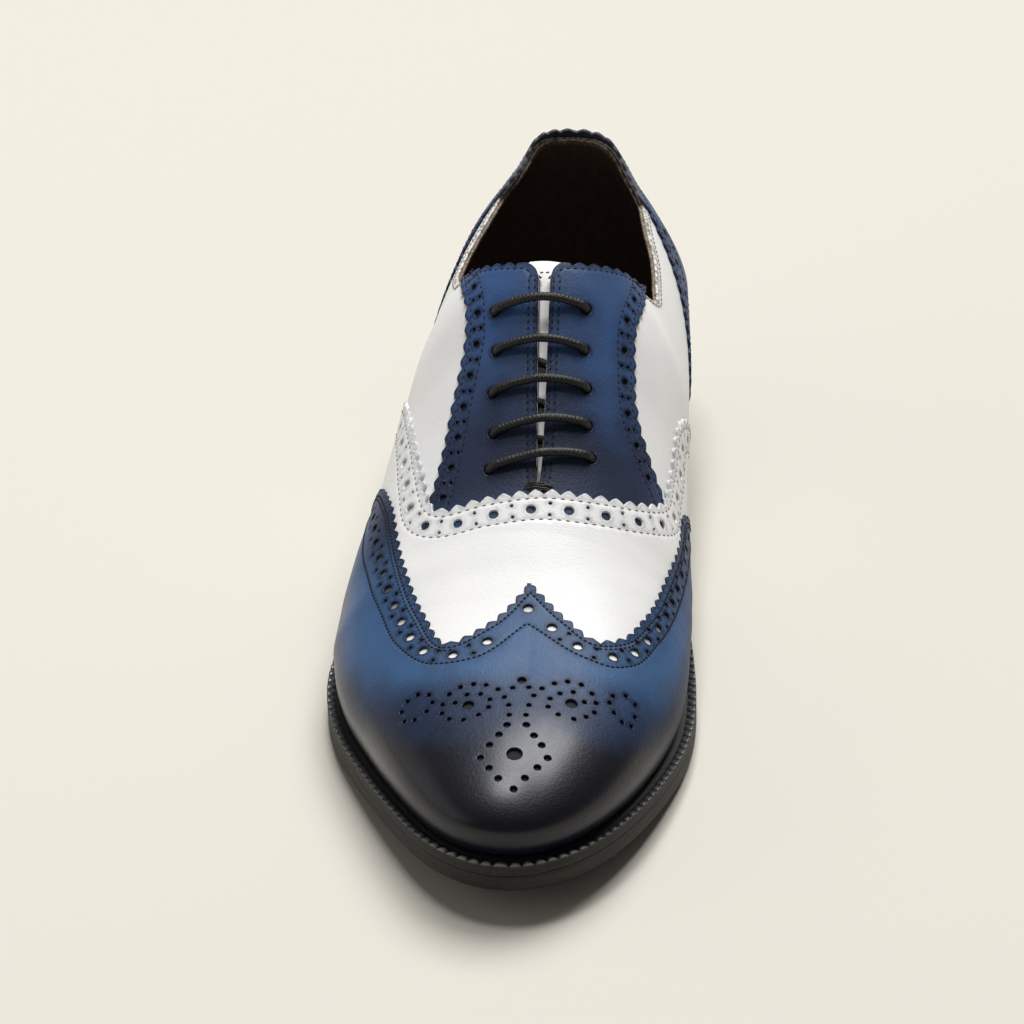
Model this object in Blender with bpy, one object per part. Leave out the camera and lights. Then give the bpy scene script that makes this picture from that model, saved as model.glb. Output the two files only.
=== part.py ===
"""A wing-tipped spectator shoe in white and blue leather, the wearer's right shoe.

The shoe stands on the floor (z = 0) with its toe towards -Y and its inner, medial side towards +X.
Every curved piece is read from one last: a row of cross ribs that run from the feather line, where
the upper meets the welt, up to the ridge of the instep, and that fan out round toe and heel.
"""
import math

import bmesh
import bpy
import numpy as np
from mathutils import Vector

# Driving sizes, in metres
LENGTH = 0.292            # upper in plan, back of the heel to tip of the toe
BALL_WIDTH = 0.1066       # upper across the ball
QUARTER_WIDTH = 0.081     # upper across the heel quarters
BULGE_HEIGHT = 0.024      # feather line to the widest line of the upper, at the heel
TUCK = 0.008              # how far the waist tucks in between the widest line and the feather
INSTEP_HEIGHT = 0.0833    # feather line to the top of the facings
TOE_SWING = 0.0063        # outline's centre at the toe, towards the medial side
RIDGE_SWING = 0.0096      # ridge at the toe, towards the medial side
HEEL_LIFT = 0.0212        # floor to the underside of the outsole at the heel seat
TOE_SPRING = 0.0094       # floor to the underside of the outsole at the toe tip

WALL = 0.002              # leather and lining of the upper
OVERLAY = 0.001           # wing cap, vamp, facings and counter on the upper
OVERLAY_FOOT = 0.0014     # height above the feather line where the overlays end
OUTSOLE = 0.0057
WELT = 0.0035
WELT_EDGE = 0.0056        # welt and outsole beyond the feather line at the toe
INSOLE_RISE = 0.0022      # insole above the feather line
TOP_LIFT = 0.006          # lowest layer of the heel
HEEL_LENGTH = 0.071       # heel, from the back of the upper to the breast
HEEL_TAPER = 0.0015       # heel edge's slope inwards, from seat to floor
BREAST_CURVE = 0.003      # hollow of the heel's front face

TONGUE = 0.0018
TONGUE_WIDTH = 0.046
TONGUE_TOP = 0.102        # from the back of the upper, along the shoe
TONGUE_END = 0.187
THROAT = 0.168            # closed end of the lacing slit, along the shoe
SLIT_TOP = 0.0017         # half width of the lacing slit at its top
LACE = 0.0027             # thickness of the round lace
LACE_DIP = 0.0012         # how far the crossings lie below the bars

GAP = 0.0003              # clearance between neighbouring pieces
SEAM_GAP = 0.0004         # clearance between the edges of two overlays

WHITE = (0.86, 0.86, 0.85, 1.0)
BLUE = (0.03, 0.09, 0.25, 1.0)
BLACK = (0.01, 0.01, 0.01, 1.0)
SOLE_BROWN = (0.09, 0.07, 0.055, 1.0)
LINING_BROWN = (0.05, 0.03, 0.02, 1.0)


class Table:
    """A short table with named columns, read as smooth curves of its first column."""

    def __init__(self, names, rows):
        self.names = names.split()
        self.rows = np.array(rows, dtype=float)

    def read(self, name, at):
        x = self.rows[:, 0]
        y = self.rows[:, self.names.index(name)]
        step = np.diff(x)
        rise = np.diff(y) / step
        slope = np.empty_like(y)
        slope[0] = rise[0]
        slope[-1] = rise[-1]
        slope[1:-1] = (rise[:-1] * step[1:] + rise[1:] * step[:-1]) / (step[:-1] + step[1:])
        at = np.clip(np.asarray(at, dtype=float), x[0], x[-1])
        i = np.clip(np.searchsorted(x, at, side="right") - 1, 0, len(x) - 2)
        t = (at - x[i]) / step[i]
        start = (1 + 2 * t) * (1 - t) ** 2 * y[i] + t * (1 - t) ** 2 * step[i] * slope[i]
        end = t * t * (3 - 2 * t) * y[i + 1] + t * t * (t - 1) * step[i] * slope[i + 1]
        return start + end


# Outline in plan. quarter and ball are half widths, as shares of QUARTER_WIDTH and BALL_WIDTH,
# and centre is the middle's shift, as a share of TOE_SWING. along runs from heel to toe.
PLAN = Table("along quarter ball centre", [
    (0.00, 0.426, 0.000, 0.00),
    (0.10, 0.457, 0.000, 0.03),
    (0.20, 0.500, 0.000, 0.00),
    (0.30, 0.540, 0.000, -0.05),
    (0.40, 0.282, 0.214, -0.21),
    (0.50, 0.000, 0.457, -0.35),
    (0.60, 0.000, 0.490, -0.41),
    (0.68, 0.000, 0.500, -0.30),
    (0.76, 0.000, 0.489, 0.08),
    (0.84, 0.000, 0.458, 0.54),
    (0.92, 0.000, 0.430, 0.89),
    (1.00, 0.000, 0.413, 1.00)])
HEEL_ROUND = (0.12, 2.1)  # share of the length that the heel's round end takes, and its fullness
TOE_ROUND = (0.37, 2.15)

# Sections. bulge, tuck, ridge and lean are shares of BULGE_HEIGHT, TUCK, INSTEP_HEIGHT and
# RIDGE_SWING. square and arch are the exponents of the rib's curve from the side to the ridge.
SECTION = Table("along bulge tuck ridge lean square arch", [
    (0.000, 1.00, 0.56, 1.040, 0.000, 3.00, 1.95),
    (0.030, 1.00, 0.58, 0.990, 0.000, 1.75, 1.50),
    (0.060, 1.00, 0.60, 0.955, 0.000, 1.42, 1.40),
    (0.100, 1.00, 0.63, 0.925, 0.000, 1.40, 1.36),
    (0.150, 0.97, 0.69, 0.930, 0.010, 1.46, 1.36),
    (0.200, 0.92, 0.75, 0.955, 0.030, 1.64, 1.36),
    (0.250, 0.86, 0.85, 0.990, 0.045, 1.76, 1.38),
    (0.300, 0.79, 0.94, 1.020, 0.060, 1.66, 1.48),
    (0.335, 0.75, 0.97, 1.012, 0.080, 1.87, 1.62),
    (0.37, 0.71, 1.00, 1.000, 0.10, 2.00, 1.60),
    (0.44, 0.63, 0.88, 0.876, 0.21, 1.95, 1.50),
    (0.50, 0.54, 0.69, 0.771, 0.33, 1.90, 1.50),
    (0.57, 0.50, 0.50, 0.646, 0.45, 1.95, 1.60),
    (0.64, 0.42, 0.38, 0.549, 0.52, 2.00, 1.75),
    (0.71, 0.40, 0.28, 0.466, 0.57, 2.10, 1.85),
    (0.78, 0.38, 0.25, 0.400, 0.66, 2.15, 1.90),
    (0.85, 0.33, 0.25, 0.342, 0.76, 2.20, 2.00),
    (0.92, 0.33, 0.25, 0.294, 0.90, 2.30, 2.00),
    (1.00, 0.33, 0.25, 0.250, 1.00, 2.30, 2.00)])
HEEL_POLE = 0.13          # where the ribs' centres stop, at heel and toe
TOE_POLE = 0.83
POLE_SOFTNESS = 0.04

# Underside of the outsole. heel and toe are shares of HEEL_LIFT and TOE_SPRING.
SOLE_LINE = Table("along heel toe", [
    (0.00, 1.000, 0.000),
    (0.10, 1.000, 0.000),
    (0.20, 0.915, 0.000),
    (0.30, 0.726, 0.000),
    (0.37, 0.561, 0.000),
    (0.44, 0.387, 0.000),
    (0.50, 0.236, 0.000),
    (0.57, 0.090, 0.000),
    (0.63, 0.000, 0.000),
    (0.67, 0.000, 0.000),
    (0.71, 0.000, 0.000),
    (0.78, 0.000, 0.149),
    (0.85, 0.000, 0.426),
    (0.92, 0.000, 0.713),
    (1.00, 0.000, 1.000)])

# Sole edge beyond the feather line, as a share of WELT_EDGE.
EDGE = Table("along out", [
    (0.00, 0.18), (0.20, 0.18), (0.30, 0.27), (0.42, 0.50), (0.52, 0.82), (0.60, 0.96), (1.00, 1.00)])

# Topline of the upper: how far out it lies from the ridge, as a share of the rib.
TOPLINE = Table("along lateral medial", [
    (0.000, 0.830, 0.830),
    (0.015, 0.720, 0.760),
    (0.035, 0.615, 0.700),
    (0.070, 0.545, 0.665),
    (0.100, 0.575, 0.665),
    (0.130, 0.620, 0.680),
    (0.160, 0.670, 0.705),
    (0.190, 0.720, 0.745),
    (0.220, 0.752, 0.764),
    (0.250, 0.755, 0.768),
    (0.280, 0.710, 0.762),
    (0.305, 0.665, 0.745),
    (0.318, 0.645, 0.700),
    (0.336, 0.615, 0.520),
    (0.345, 0.590, 0.430),
    (0.354, 0.430, 0.345),
    (0.362, 0.240, 0.200),
    (0.371, 0.110, 0.110),
    (0.378, 0.040, 0.040)])

# Edges of the overlays seen from above. along is a share of LENGTH and across of BALL_WIDTH.
WING_EDGE_LATERAL = [
    (0.432, -0.563), (0.452, -0.474), (0.485, -0.443), (0.540, -0.393), (0.639, -0.321),
    (0.721, -0.235), (0.764, -0.156), (0.744, -0.052), (0.690, 0.050)]
WING_EDGE_MEDIAL = [
    (0.690, 0.050), (0.735, 0.172), (0.752, 0.244), (0.739, 0.300), (0.697, 0.358),
    (0.597, 0.407), (0.533, 0.422), (0.480, 0.430), (0.449, 0.470), (0.432, 0.563)]
VAMP_EDGE = [
    (0.336, -0.563), (0.360, -0.432), (0.385, -0.397), (0.463, -0.348), (0.527, -0.299),
    (0.565, -0.258), (0.583, -0.206), (0.582, -0.111), (0.579, 0.041), (0.572, 0.197),
    (0.557, 0.306), (0.527, 0.371), (0.465, 0.396), (0.385, 0.402), (0.356, 0.432),
    (0.336, 0.563)]
FACING_EDGE_LATERAL = [
    (0.290, -0.262), (0.340, -0.246), (0.405, -0.213), (0.480, -0.232), (0.527, -0.249),
    (0.600, -0.281)]
FACING_EDGE_MEDIAL = [
    (0.280, 0.300), (0.305, 0.296), (0.378, 0.270), (0.455, 0.288), (0.490, 0.332),
    (0.540, 0.400)]

# Edges of the overlays on the sides, seen from the side: along, and height as a share of
# INSTEP_HEIGHT. Wing cap and vamp reach down to the sole in front of their edges, the counter
# behind its edge.
WING_SIDE = [
    (1.000, 0.408), (0.473, 0.408), (0.452, 0.360), (0.418, 0.240), (0.397, 0.120), (0.390, 0.000)]
VAMP_SIDE = [
    (1.000, 0.516), (0.466, 0.516), (0.377, 0.600), (0.349, 0.552), (0.329, 0.456),
    (0.315, 0.336), (0.308, 0.216), (0.308, 0.000)]
COUNTER_SIDE = [
    (0.095, 1.500), (0.116, 1.320), (0.147, 1.008), (0.185, 0.816), (0.226, 0.672),
    (0.260, 0.552), (0.281, 0.432), (0.295, 0.240), (0.295, 0.000)]

# Eyelet pairs from top to throat, seen from above, in the same shares as the overlays' edges.
EYELETS = Table("pair lateral_along lateral_across medial_along medial_across", [
    (0, 0.408, -0.124, 0.403, 0.134),
    (1, 0.445, -0.116, 0.440, 0.140),
    (2, 0.485, -0.112, 0.476, 0.152),
    (3, 0.524, -0.106, 0.510, 0.163),
    (4, 0.560, -0.102, 0.541, 0.178)])

# Places of the ribs along the shoe
HEEL_RIBS = [0.0, 0.006, 0.024, 0.053, 0.09, 0.13, 0.17, 0.21, 0.25]
COLLAR_RIBS = [0.28, 0.305, 0.320, 0.336, 0.346, 0.354, 0.362, 0.371, 0.378]
FORE_RIBS = [0.61, 0.64, 0.67, 0.70, 0.735, 0.77, 0.805, 0.84, 0.875]
TOE_RIBS = [0.905, 0.935, 0.96, 0.98, 0.993, 1.0]
SLIT_RIBS = 5             # between the collar and the throat
LOWER_STEPS = [1.0, 0.5, 0.0]
UPPER_STEPS = 6
TIP_CLEAR = 1e-5          # keeps a rib's sideways direction defined at the two tips


def y_of(along):
    return LENGTH * (0.5 - np.asarray(along, dtype=float))


def along_of(y):
    return np.clip(0.5 - y / LENGTH, 0.0, 1.0)


def outline(along):
    """Centre and half width of the upper's widest line."""
    along = np.clip(along, TIP_CLEAR, 1 - TIP_CLEAR)
    half = PLAN.read("quarter", along) * QUARTER_WIDTH + PLAN.read("ball", along) * BALL_WIDTH
    back = np.clip((HEEL_ROUND[0] - along) / HEEL_ROUND[0], 0, 1)
    front = np.clip((along - 1 + TOE_ROUND[0]) / TOE_ROUND[0], 0, 1)
    back_cut = np.maximum(1 - back ** HEEL_ROUND[1], 0) ** (1 / HEEL_ROUND[1])
    front_cut = np.maximum(1 - front ** TOE_ROUND[1], 0) ** (1 / TOE_ROUND[1])
    return PLAN.read("centre", along) * TOE_SWING, half * back_cut * front_cut


def sole_height(along):
    """Underside of the outsole above the floor."""
    rise = SOLE_LINE.read("heel", along) * HEEL_LIFT + SOLE_LINE.read("toe", along) * TOE_SPRING
    return np.maximum(rise, 0)


def feather_height(along):
    return sole_height(along) + OUTSOLE + GAP + WELT + GAP


def bulge_height(along):
    return feather_height(along) + SECTION.read("bulge", along) * BULGE_HEIGHT


def ridge_height(along):
    return feather_height(along) + SECTION.read("ridge", along) * INSTEP_HEIGHT


def spine(along):
    """Where a rib's centre lies along the ridge: it stops softly at the heel and toe poles."""
    def soft(d):
        return (d + math.sqrt(d * d + POLE_SOFTNESS ** 2)) / 2
    return TOE_POLE - soft(TOE_POLE - HEEL_POLE - soft(along - HEEL_POLE))


def side_point(along, side):
    centre, half = outline(along)
    return np.array([centre + side * half, y_of(along)])


def outward(along, side):
    """Unit vector square to the outline, pointing away from the shoe."""
    along = min(max(along, 20 * TIP_CLEAR), 1 - 20 * TIP_CLEAR)
    step = side_point(along + 10 * TIP_CLEAR, side) - side_point(along - 10 * TIP_CLEAR, side)
    step /= np.linalg.norm(step)
    return np.array([-step[1], step[0]]) * side


def rib_point(along, side, share):
    """A point on a rib, at the share of the way out from the ridge (0) to the widest line (1)."""
    foot = side_point(along, side)
    pole = spine(along)
    head = np.array([SECTION.read("lean", pole) * RIDGE_SWING, y_of(pole)])
    square = SECTION.read("square", along)
    arch = SECTION.read("arch", along)
    spot = head + (foot - head) * share
    at = along_of(spot[1])
    low = bulge_height(at)
    rise = max(1 - share ** square, 0) ** (1 / arch)
    return np.array([spot[0], spot[1], low + (ridge_height(at) - low) * rise])


def wall_point(along, side, down):
    """A point below the widest line: down is 0 there and 1 at the feather line."""
    tuck = SECTION.read("tuck", along) * TUCK * down ** 2.5
    spot = side_point(along, side) - outward(along, side) * tuck
    low = feather_height(along)
    return np.array([spot[0], spot[1], low + (bulge_height(along) - low) * (1 - down)])


def edge_point(along, side, out):
    """A point in plan at a distance outside the feather line."""
    tuck = SECTION.read("tuck", along) * TUCK
    return side_point(along, side) + outward(along, side) * (out - tuck)


def sole_out(along):
    return EDGE.read("out", along) * WELT_EDGE


def top_share(along, side):
    """Where a rib ends at the top: at the topline, at the lacing slit, or on the ridge."""
    throat = THROAT / LENGTH
    slit_start = TOPLINE.rows[-1, 0]
    if along <= slit_start:
        return float(TOPLINE.read("medial" if side > 0 else "lateral", along))
    if along >= throat:
        return 0.0
    foot = side_point(along, side)
    head_x = SECTION.read("lean", spine(along)) * RIDGE_SWING
    return SLIT_TOP * (throat - along) / (throat - slit_start) / abs(foot[0] - head_x)


def rib_places():
    throat = THROAT / LENGTH
    slit = np.linspace(COLLAR_RIBS[-1], throat, SLIT_RIBS + 2)[1:]
    fore = [place for place in FORE_RIBS if place > throat + 0.01]
    return HEEL_RIBS + COLLAR_RIBS + list(slit) + fore + TOE_RIBS


def rib(along, side, foot):
    """One rib of the upper's outer face, from a height above the feather line to its top."""
    lowest = 1 - foot / (SECTION.read("bulge", along) * BULGE_HEIGHT)
    points = [wall_point(along, side, min(down, lowest)) for down in LOWER_STEPS]
    square = SECTION.read("square", along)
    top = math.asin(top_share(along, side) ** (square / 2))
    for i in range(1, UPPER_STEPS + 1):
        turn = math.pi / 2 + (top - math.pi / 2) * i / UPPER_STEPS
        share = math.sin(turn) ** (2 / square)
        if i == UPPER_STEPS:
            share = top_share(along, side)
        points.append(rib_point(along, side, share))
    return points


def upper_sheet(foot=0.0):
    """The upper's outer face: ribs up the lateral side to the toe and back down the medial side."""
    places = rib_places()
    ribs = [rib(place, -1, foot) for place in places]
    ribs += [rib(place, 1, foot) for place in reversed(places[1:-1])]
    return grid_sheet(ribs, closed=True)


def grid_sheet(lines, closed):
    """Joins neighbouring lines of points with quads and welds the points that meet."""
    bm = bmesh.new()
    rows = [[bm.verts.new(point) for point in line] for line in lines]
    count = len(rows) if closed else len(rows) - 1
    for i in range(count):
        here = rows[i]
        there = rows[(i + 1) % len(rows)]
        for j in range(len(here) - 1):
            bm.faces.new((here[j], there[j], there[j + 1], here[j + 1]))
    bmesh.ops.remove_doubles(bm, verts=bm.verts, dist=1e-5)
    bmesh.ops.dissolve_degenerate(bm, edges=bm.edges, dist=1e-6)
    bmesh.ops.triangulate(bm, faces=bm.faces)
    bm.normal_update()
    return bm


def thicken(sheet, low, high):
    """A closed body between two offsets of a sheet, along its vertex normals."""
    sheet.verts.ensure_lookup_table()
    sheet.verts.index_update()
    bm = bmesh.new()
    bottom = []
    top = []
    for vert in sheet.verts:
        reach = vert.normal * min(vert.calc_shell_factor(), 1.3)
        bottom.append(bm.verts.new(vert.co + reach * low))
        top.append(bm.verts.new(vert.co + reach * high))
    for face in sheet.faces:
        corners = [vert.index for vert in face.verts]
        bm.faces.new([top[i] for i in corners])
        bm.faces.new([bottom[i] for i in reversed(corners)])
    for edge in sheet.edges:
        if len(edge.link_faces) != 1:
            continue
        loop = edge.link_loops[0]
        a = loop.vert.index
        b = loop.link_loop_next.vert.index
        bm.faces.new((top[b], top[a], bottom[a], bottom[b]))
    return bm


def finish(name, bm, colour, roughness):
    """Turns a bmesh into a named object with its own material."""
    bmesh.ops.recalc_face_normals(bm, faces=bm.faces)
    mesh = bpy.data.meshes.new(name)
    bm.to_mesh(mesh)
    bm.free()
    mesh.shade_smooth()
    mesh.set_sharp_from_angle(angle=math.radians(40))
    material = bpy.data.materials.new(name)
    material.use_nodes = True
    surface = material.node_tree.nodes["Principled BSDF"]
    surface.inputs["Base Color"].default_value = colour
    surface.inputs["Roughness"].default_value = roughness
    mesh.materials.append(material)
    piece = bpy.data.objects.new(name, mesh)
    bpy.context.scene.collection.objects.link(piece)
    return piece


def block(name, outline_points, low, high, across="Z"):
    """A cutter: an outline extruded from low to high along Z, or along X for a side outline."""
    bm = bmesh.new()
    def place(point, level):
        if across == "Z":
            return Vector((point[0], point[1], level))
        return Vector((level, point[0], point[1]))
    bottom = [bm.verts.new(place(point, low)) for point in outline_points]
    top = [bm.verts.new(place(point, high)) for point in outline_points]
    bm.faces.new(list(reversed(bottom)))
    bm.faces.new(top)
    for i in range(len(bottom)):
        j = (i + 1) % len(bottom)
        bm.faces.new((bottom[i], bottom[j], top[j], top[i]))
    bmesh.ops.recalc_face_normals(bm, faces=bm.faces)
    mesh = bpy.data.meshes.new(name)
    bm.to_mesh(mesh)
    bm.free()
    cutter = bpy.data.objects.new(name, mesh)
    bpy.context.scene.collection.objects.link(cutter)
    cutter.hide_render = True
    cutter.display_type = "WIRE"
    return cutter


def cut(piece, cutter, operation):
    step = piece.modifiers.new(cutter.name, "BOOLEAN")
    step.operation = operation
    step.object = cutter
    step.solver = "EXACT"


def plan_curve(shares, steps=2):
    """A smooth curve in plan through points given as shares of LENGTH and BALL_WIDTH."""
    spots = np.array([(across * BALL_WIDTH, y_of(along)) for along, across in shares])
    reach = np.concatenate([[0], np.cumsum(np.linalg.norm(np.diff(spots, axis=0), axis=1))])
    curve = Table("reach x y", np.column_stack([reach, spots]))
    at = np.concatenate([np.linspace(a, b, steps, endpoint=False) for a, b in zip(reach, reach[1:])])
    at = np.append(at, reach[-1])
    return np.column_stack([curve.read("x", at), curve.read("y", at)])


def shifted(curve, distance):
    """The curve moved sideways, to the left of its direction."""
    step = np.gradient(curve, axis=0)
    step /= np.linalg.norm(step, axis=1)[:, None]
    return curve + np.column_stack([-step[:, 1], step[:, 0]]) * distance


def front_block(name, plan_line, side_line, room=0.0):
    """A cutter for what lies in front of an overlay's edge, on top of the shoe and on its sides."""
    far = LENGTH
    start = plan_line[0]
    end = plan_line[-1]
    corners = [(far, end[1]), (far, -far), (-far, -far), (-far, start[1])]
    top = block(name, list(map(tuple, plan_line)) + corners, 0.0, far)
    side = [(float(y_of(along)) + room, height * INSTEP_HEIGHT + room) for along, height in side_line]
    side.append((float(y_of(side_line[-1][0])) + room, -far))
    side += [(-far, -far), (-far, side[0][1])]
    cut(top, block(name + "_side", side, -far, far, across="X"), "UNION")
    return top


def wing_curve(distance=0.0):
    lateral = plan_curve(WING_EDGE_LATERAL)
    medial = plan_curve(WING_EDGE_MEDIAL)
    if distance:
        lateral = shifted(lateral, distance)
        medial = shifted(medial, distance)
        lateral[-1] = (lateral[-1] + medial[0]) / 2 + (0, distance)
    return np.concatenate([lateral, medial[1:]])


def overlay_shell(name, sheet, colour):
    body = thicken(sheet, GAP, GAP + OVERLAY)
    return finish(name, body, colour, 0.4)


def make_overlays(sheet):
    """Wing cap, vamp, facings and counter, cut out of a shell that lies over the upper."""
    wing_front = front_block("wing_front", wing_curve(), WING_SIDE)
    wing_room = front_block("wing_room", wing_curve(SEAM_GAP), WING_SIDE, SEAM_GAP)
    vamp_line = plan_curve(VAMP_EDGE)
    vamp_front = front_block("vamp_front", vamp_line, VAMP_SIDE)
    vamp_room = front_block("vamp_room", shifted(vamp_line, SEAM_GAP), VAMP_SIDE, SEAM_GAP)

    wing = overlay_shell("wing_cap", sheet, BLUE)
    cut(wing, wing_front, "INTERSECT")
    vamp = overlay_shell("vamp", sheet, WHITE)
    cut(vamp, vamp_front, "INTERSECT")
    cut(vamp, wing_room, "DIFFERENCE")

    ridge = []
    for along in np.linspace(0.25, 0.62, 9):
        ridge.append((SECTION.read("lean", along) * RIDGE_SWING, float(y_of(along))))
    ridge = np.array(ridge)
    for name, edge, side in (("facing_lateral", FACING_EDGE_LATERAL, -1),
                             ("facing_medial", FACING_EDGE_MEDIAL, 1)):
        inner = [tuple(spot) for spot in ridge + (side * SEAM_GAP / 2, 0)]
        outer = [tuple(spot) for spot in plan_curve(edge)]
        region = block(name + "_region", inner + outer[::-1], 0.0, LENGTH)
        facing = overlay_shell(name, sheet, BLUE)
        cut(facing, region, "INTERSECT")
        cut(facing, vamp_room, "DIFFERENCE")

    side = [(float(y_of(along)), height * INSTEP_HEIGHT) for along, height in COUNTER_SIDE]
    behind = side + [(LENGTH, side[-1][1]), (LENGTH, side[0][1])]
    counter_region = block("counter_region", behind, -LENGTH, LENGTH, across="X")
    counter = overlay_shell("counter", sheet, BLUE)
    cut(counter, counter_region, "INTERSECT")


def make_upper(sheet):
    return finish("upper", thicken(sheet, -WALL, 0.0), WHITE, 0.4)


def make_tongue():
    """A curved leaf under the facings, from above their tops to under the vamp."""
    lines = []
    places = np.linspace(TONGUE_TOP / LENGTH, TONGUE_END / LENGTH, 12)
    for along in places:
        line = []
        for reach in np.linspace(-TONGUE_WIDTH / 2, TONGUE_WIDTH / 2, 9):
            side = -1 if reach < 0 else 1
            foot = side_point(along, side)
            head_x = SECTION.read("lean", spine(along)) * RIDGE_SWING
            line.append(rib_point(along, side, abs(reach) / abs(foot[0] - head_x)))
        lines.append(line)
    under = WALL + 3 * GAP
    return finish("tongue", thicken(grid_sheet(lines, False), -under - TONGUE, -under), WHITE, 0.4)


def slab(name, places, out, low, high, colour, roughness):
    """A plate across the shoe, between two heights that follow the sole's line."""
    bm = bmesh.new()
    corners = []
    for along in places:
        row = []
        for side in (-1, 1):
            spot = edge_point(along, side, out(along))
            at = along_of(spot[1])
            row.append(bm.verts.new((spot[0], spot[1], low(at))))
            row.append(bm.verts.new((spot[0], spot[1], high(at))))
        corners.append(row)
    for a, b in zip(corners, corners[1:]):
        bm.faces.new((a[0], b[0], b[2], a[2]))
        bm.faces.new((a[1], a[3], b[3], b[1]))
        bm.faces.new((a[0], a[1], b[1], b[0]))
        bm.faces.new((a[2], b[2], b[3], a[3]))
    first = corners[0]
    last = corners[-1]
    bm.faces.new((first[0], first[2], first[3], first[1]))
    bm.faces.new((last[0], last[1], last[3], last[2]))
    bmesh.ops.remove_doubles(bm, verts=bm.verts, dist=TIP_CLEAR)
    bmesh.ops.triangulate(bm, faces=bm.faces)
    return finish(name, bm, colour, roughness)


def make_outsole():
    return slab("outsole", rib_places(), sole_out, sole_height,
                lambda at: sole_height(at) + OUTSOLE, SOLE_BROWN, 0.6)


def make_insole():
    """The sock and the filling under it, inside the upper and the welt."""
    inset = WALL + 2 * GAP
    return slab("insole", rib_places(), lambda at: -inset,
                lambda at: sole_height(at) + OUTSOLE + GAP,
                lambda at: feather_height(at) + INSOLE_RISE, LINING_BROWN, 0.7)


def make_welt():
    """The strip that runs round between outsole and upper."""
    places = rib_places()
    stations = [(place, -1) for place in places] + [(place, 1) for place in reversed(places[1:-1])]
    bm = bmesh.new()
    ring = []
    for along, side in stations:
        row = []
        for out in (-WALL - GAP, float(sole_out(along))):
            spot = edge_point(along, side, out)
            low = sole_height(along_of(spot[1])) + OUTSOLE + GAP
            row.append(bm.verts.new((spot[0], spot[1], low)))
            row.append(bm.verts.new((spot[0], spot[1], low + WELT)))
        ring.append(row)
    for i, here in enumerate(ring):
        there = ring[(i + 1) % len(ring)]
        for a, b in ((0, 1), (1, 3), (3, 2), (2, 0)):
            bm.faces.new((here[a], here[b], there[b], there[a]))
    bmesh.ops.triangulate(bm, faces=bm.faces)
    return finish("welt", bm, BLACK, 0.5)


def make_heel():
    """The heel stack and its top lift, under the back of the outsole."""
    breast = HEEL_LENGTH / LENGTH
    hollow = BREAST_CURVE / LENGTH
    places = [place for place in rib_places() if place < breast - 2 * hollow] + [breast]

    def layer(name, low, high, colour, roughness):
        bm = bmesh.new()
        rows = []
        for at in places:
            row = []
            for share in (0.0, 0.25, 0.5, 0.75, 1.0):
                for level, inset in ((low, HEEL_TAPER), (high, 0.0)):
                    left = edge_point(at, -1, float(sole_out(at)) - inset)
                    right = edge_point(at, 1, float(sole_out(at)) - inset)
                    spot = left + (right - left) * share
                    if at == breast:
                        spot = spot + (0, BREAST_CURVE * 4 * share * (1 - share))
                    row.append(bm.verts.new((spot[0], spot[1], level(along_of(spot[1])))))
            rows.append(row)
        for a, b in zip(rows, rows[1:]):
            for k in range(0, 8, 2):
                bm.faces.new((a[k], a[k + 2], b[k + 2], b[k]))
                bm.faces.new((a[k + 1], b[k + 1], b[k + 3], a[k + 3]))
            bm.faces.new((a[0], b[0], b[1], a[1]))
            bm.faces.new((a[8], a[9], b[9], b[8]))
        for row in (rows[0], rows[-1]):
            for k in range(0, 8, 2):
                bm.faces.new((row[k], row[k + 1], row[k + 3], row[k + 2]))
        bmesh.ops.triangulate(bm, faces=bm.faces)
        return finish(name, bm, colour, roughness)

    layer("top_lift", lambda at: 0.0, lambda at: TOP_LIFT, BLACK, 0.7)
    layer("heel_stack", lambda at: TOP_LIFT + GAP, lambda at: sole_height(at) - GAP,
          SOLE_BROWN, 0.5)


def top_point(x, y):
    """The last's surface above a spot in plan, between the heel and toe poles."""
    along = float(along_of(y))
    head_x = SECTION.read("lean", spine(along)) * RIDGE_SWING
    side = -1 if x < head_x else 1
    foot = side_point(along, side)
    return rib_point(along, side, abs(x - head_x) / abs(foot[0] - head_x))


def raised_point(x, y, height):
    """A point above the instep, square to its surface."""
    reach = 0.002
    slope_x = top_point(x + reach, y)[2] - top_point(x - reach, y)[2]
    slope_y = top_point(x, y + reach)[2] - top_point(x, y - reach)[2]
    normal = np.array([-slope_x, -slope_y, 2 * reach])
    normal /= np.linalg.norm(normal)
    return top_point(x, y) + normal * height


def tube(name, points, radius, sides=6):
    """A round bar through the points, closed with flat ends."""
    points = [Vector(point) for point in points]
    bm = bmesh.new()
    rings = []
    up = Vector((0, 0, 1))
    for i, point in enumerate(points):
        ahead = points[min(i + 1, len(points) - 1)] - points[max(i - 1, 0)]
        ahead.normalize()
        across = ahead.cross(up).normalized()
        over = across.cross(ahead).normalized()
        ring = []
        for k in range(sides):
            turn = 2 * math.pi * (k + 0.5) / sides
            ring.append(bm.verts.new(point + (across * math.cos(turn) + over * math.sin(turn)) * radius))
        rings.append(ring)
    for here, there in zip(rings, rings[1:]):
        for k in range(sides):
            m = (k + 1) % sides
            bm.faces.new((here[k], here[m], there[m], there[k]))
    bm.faces.new(list(reversed(rings[0])))
    bm.faces.new(rings[-1])
    return finish(name, bm, BLACK, 0.6)


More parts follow.
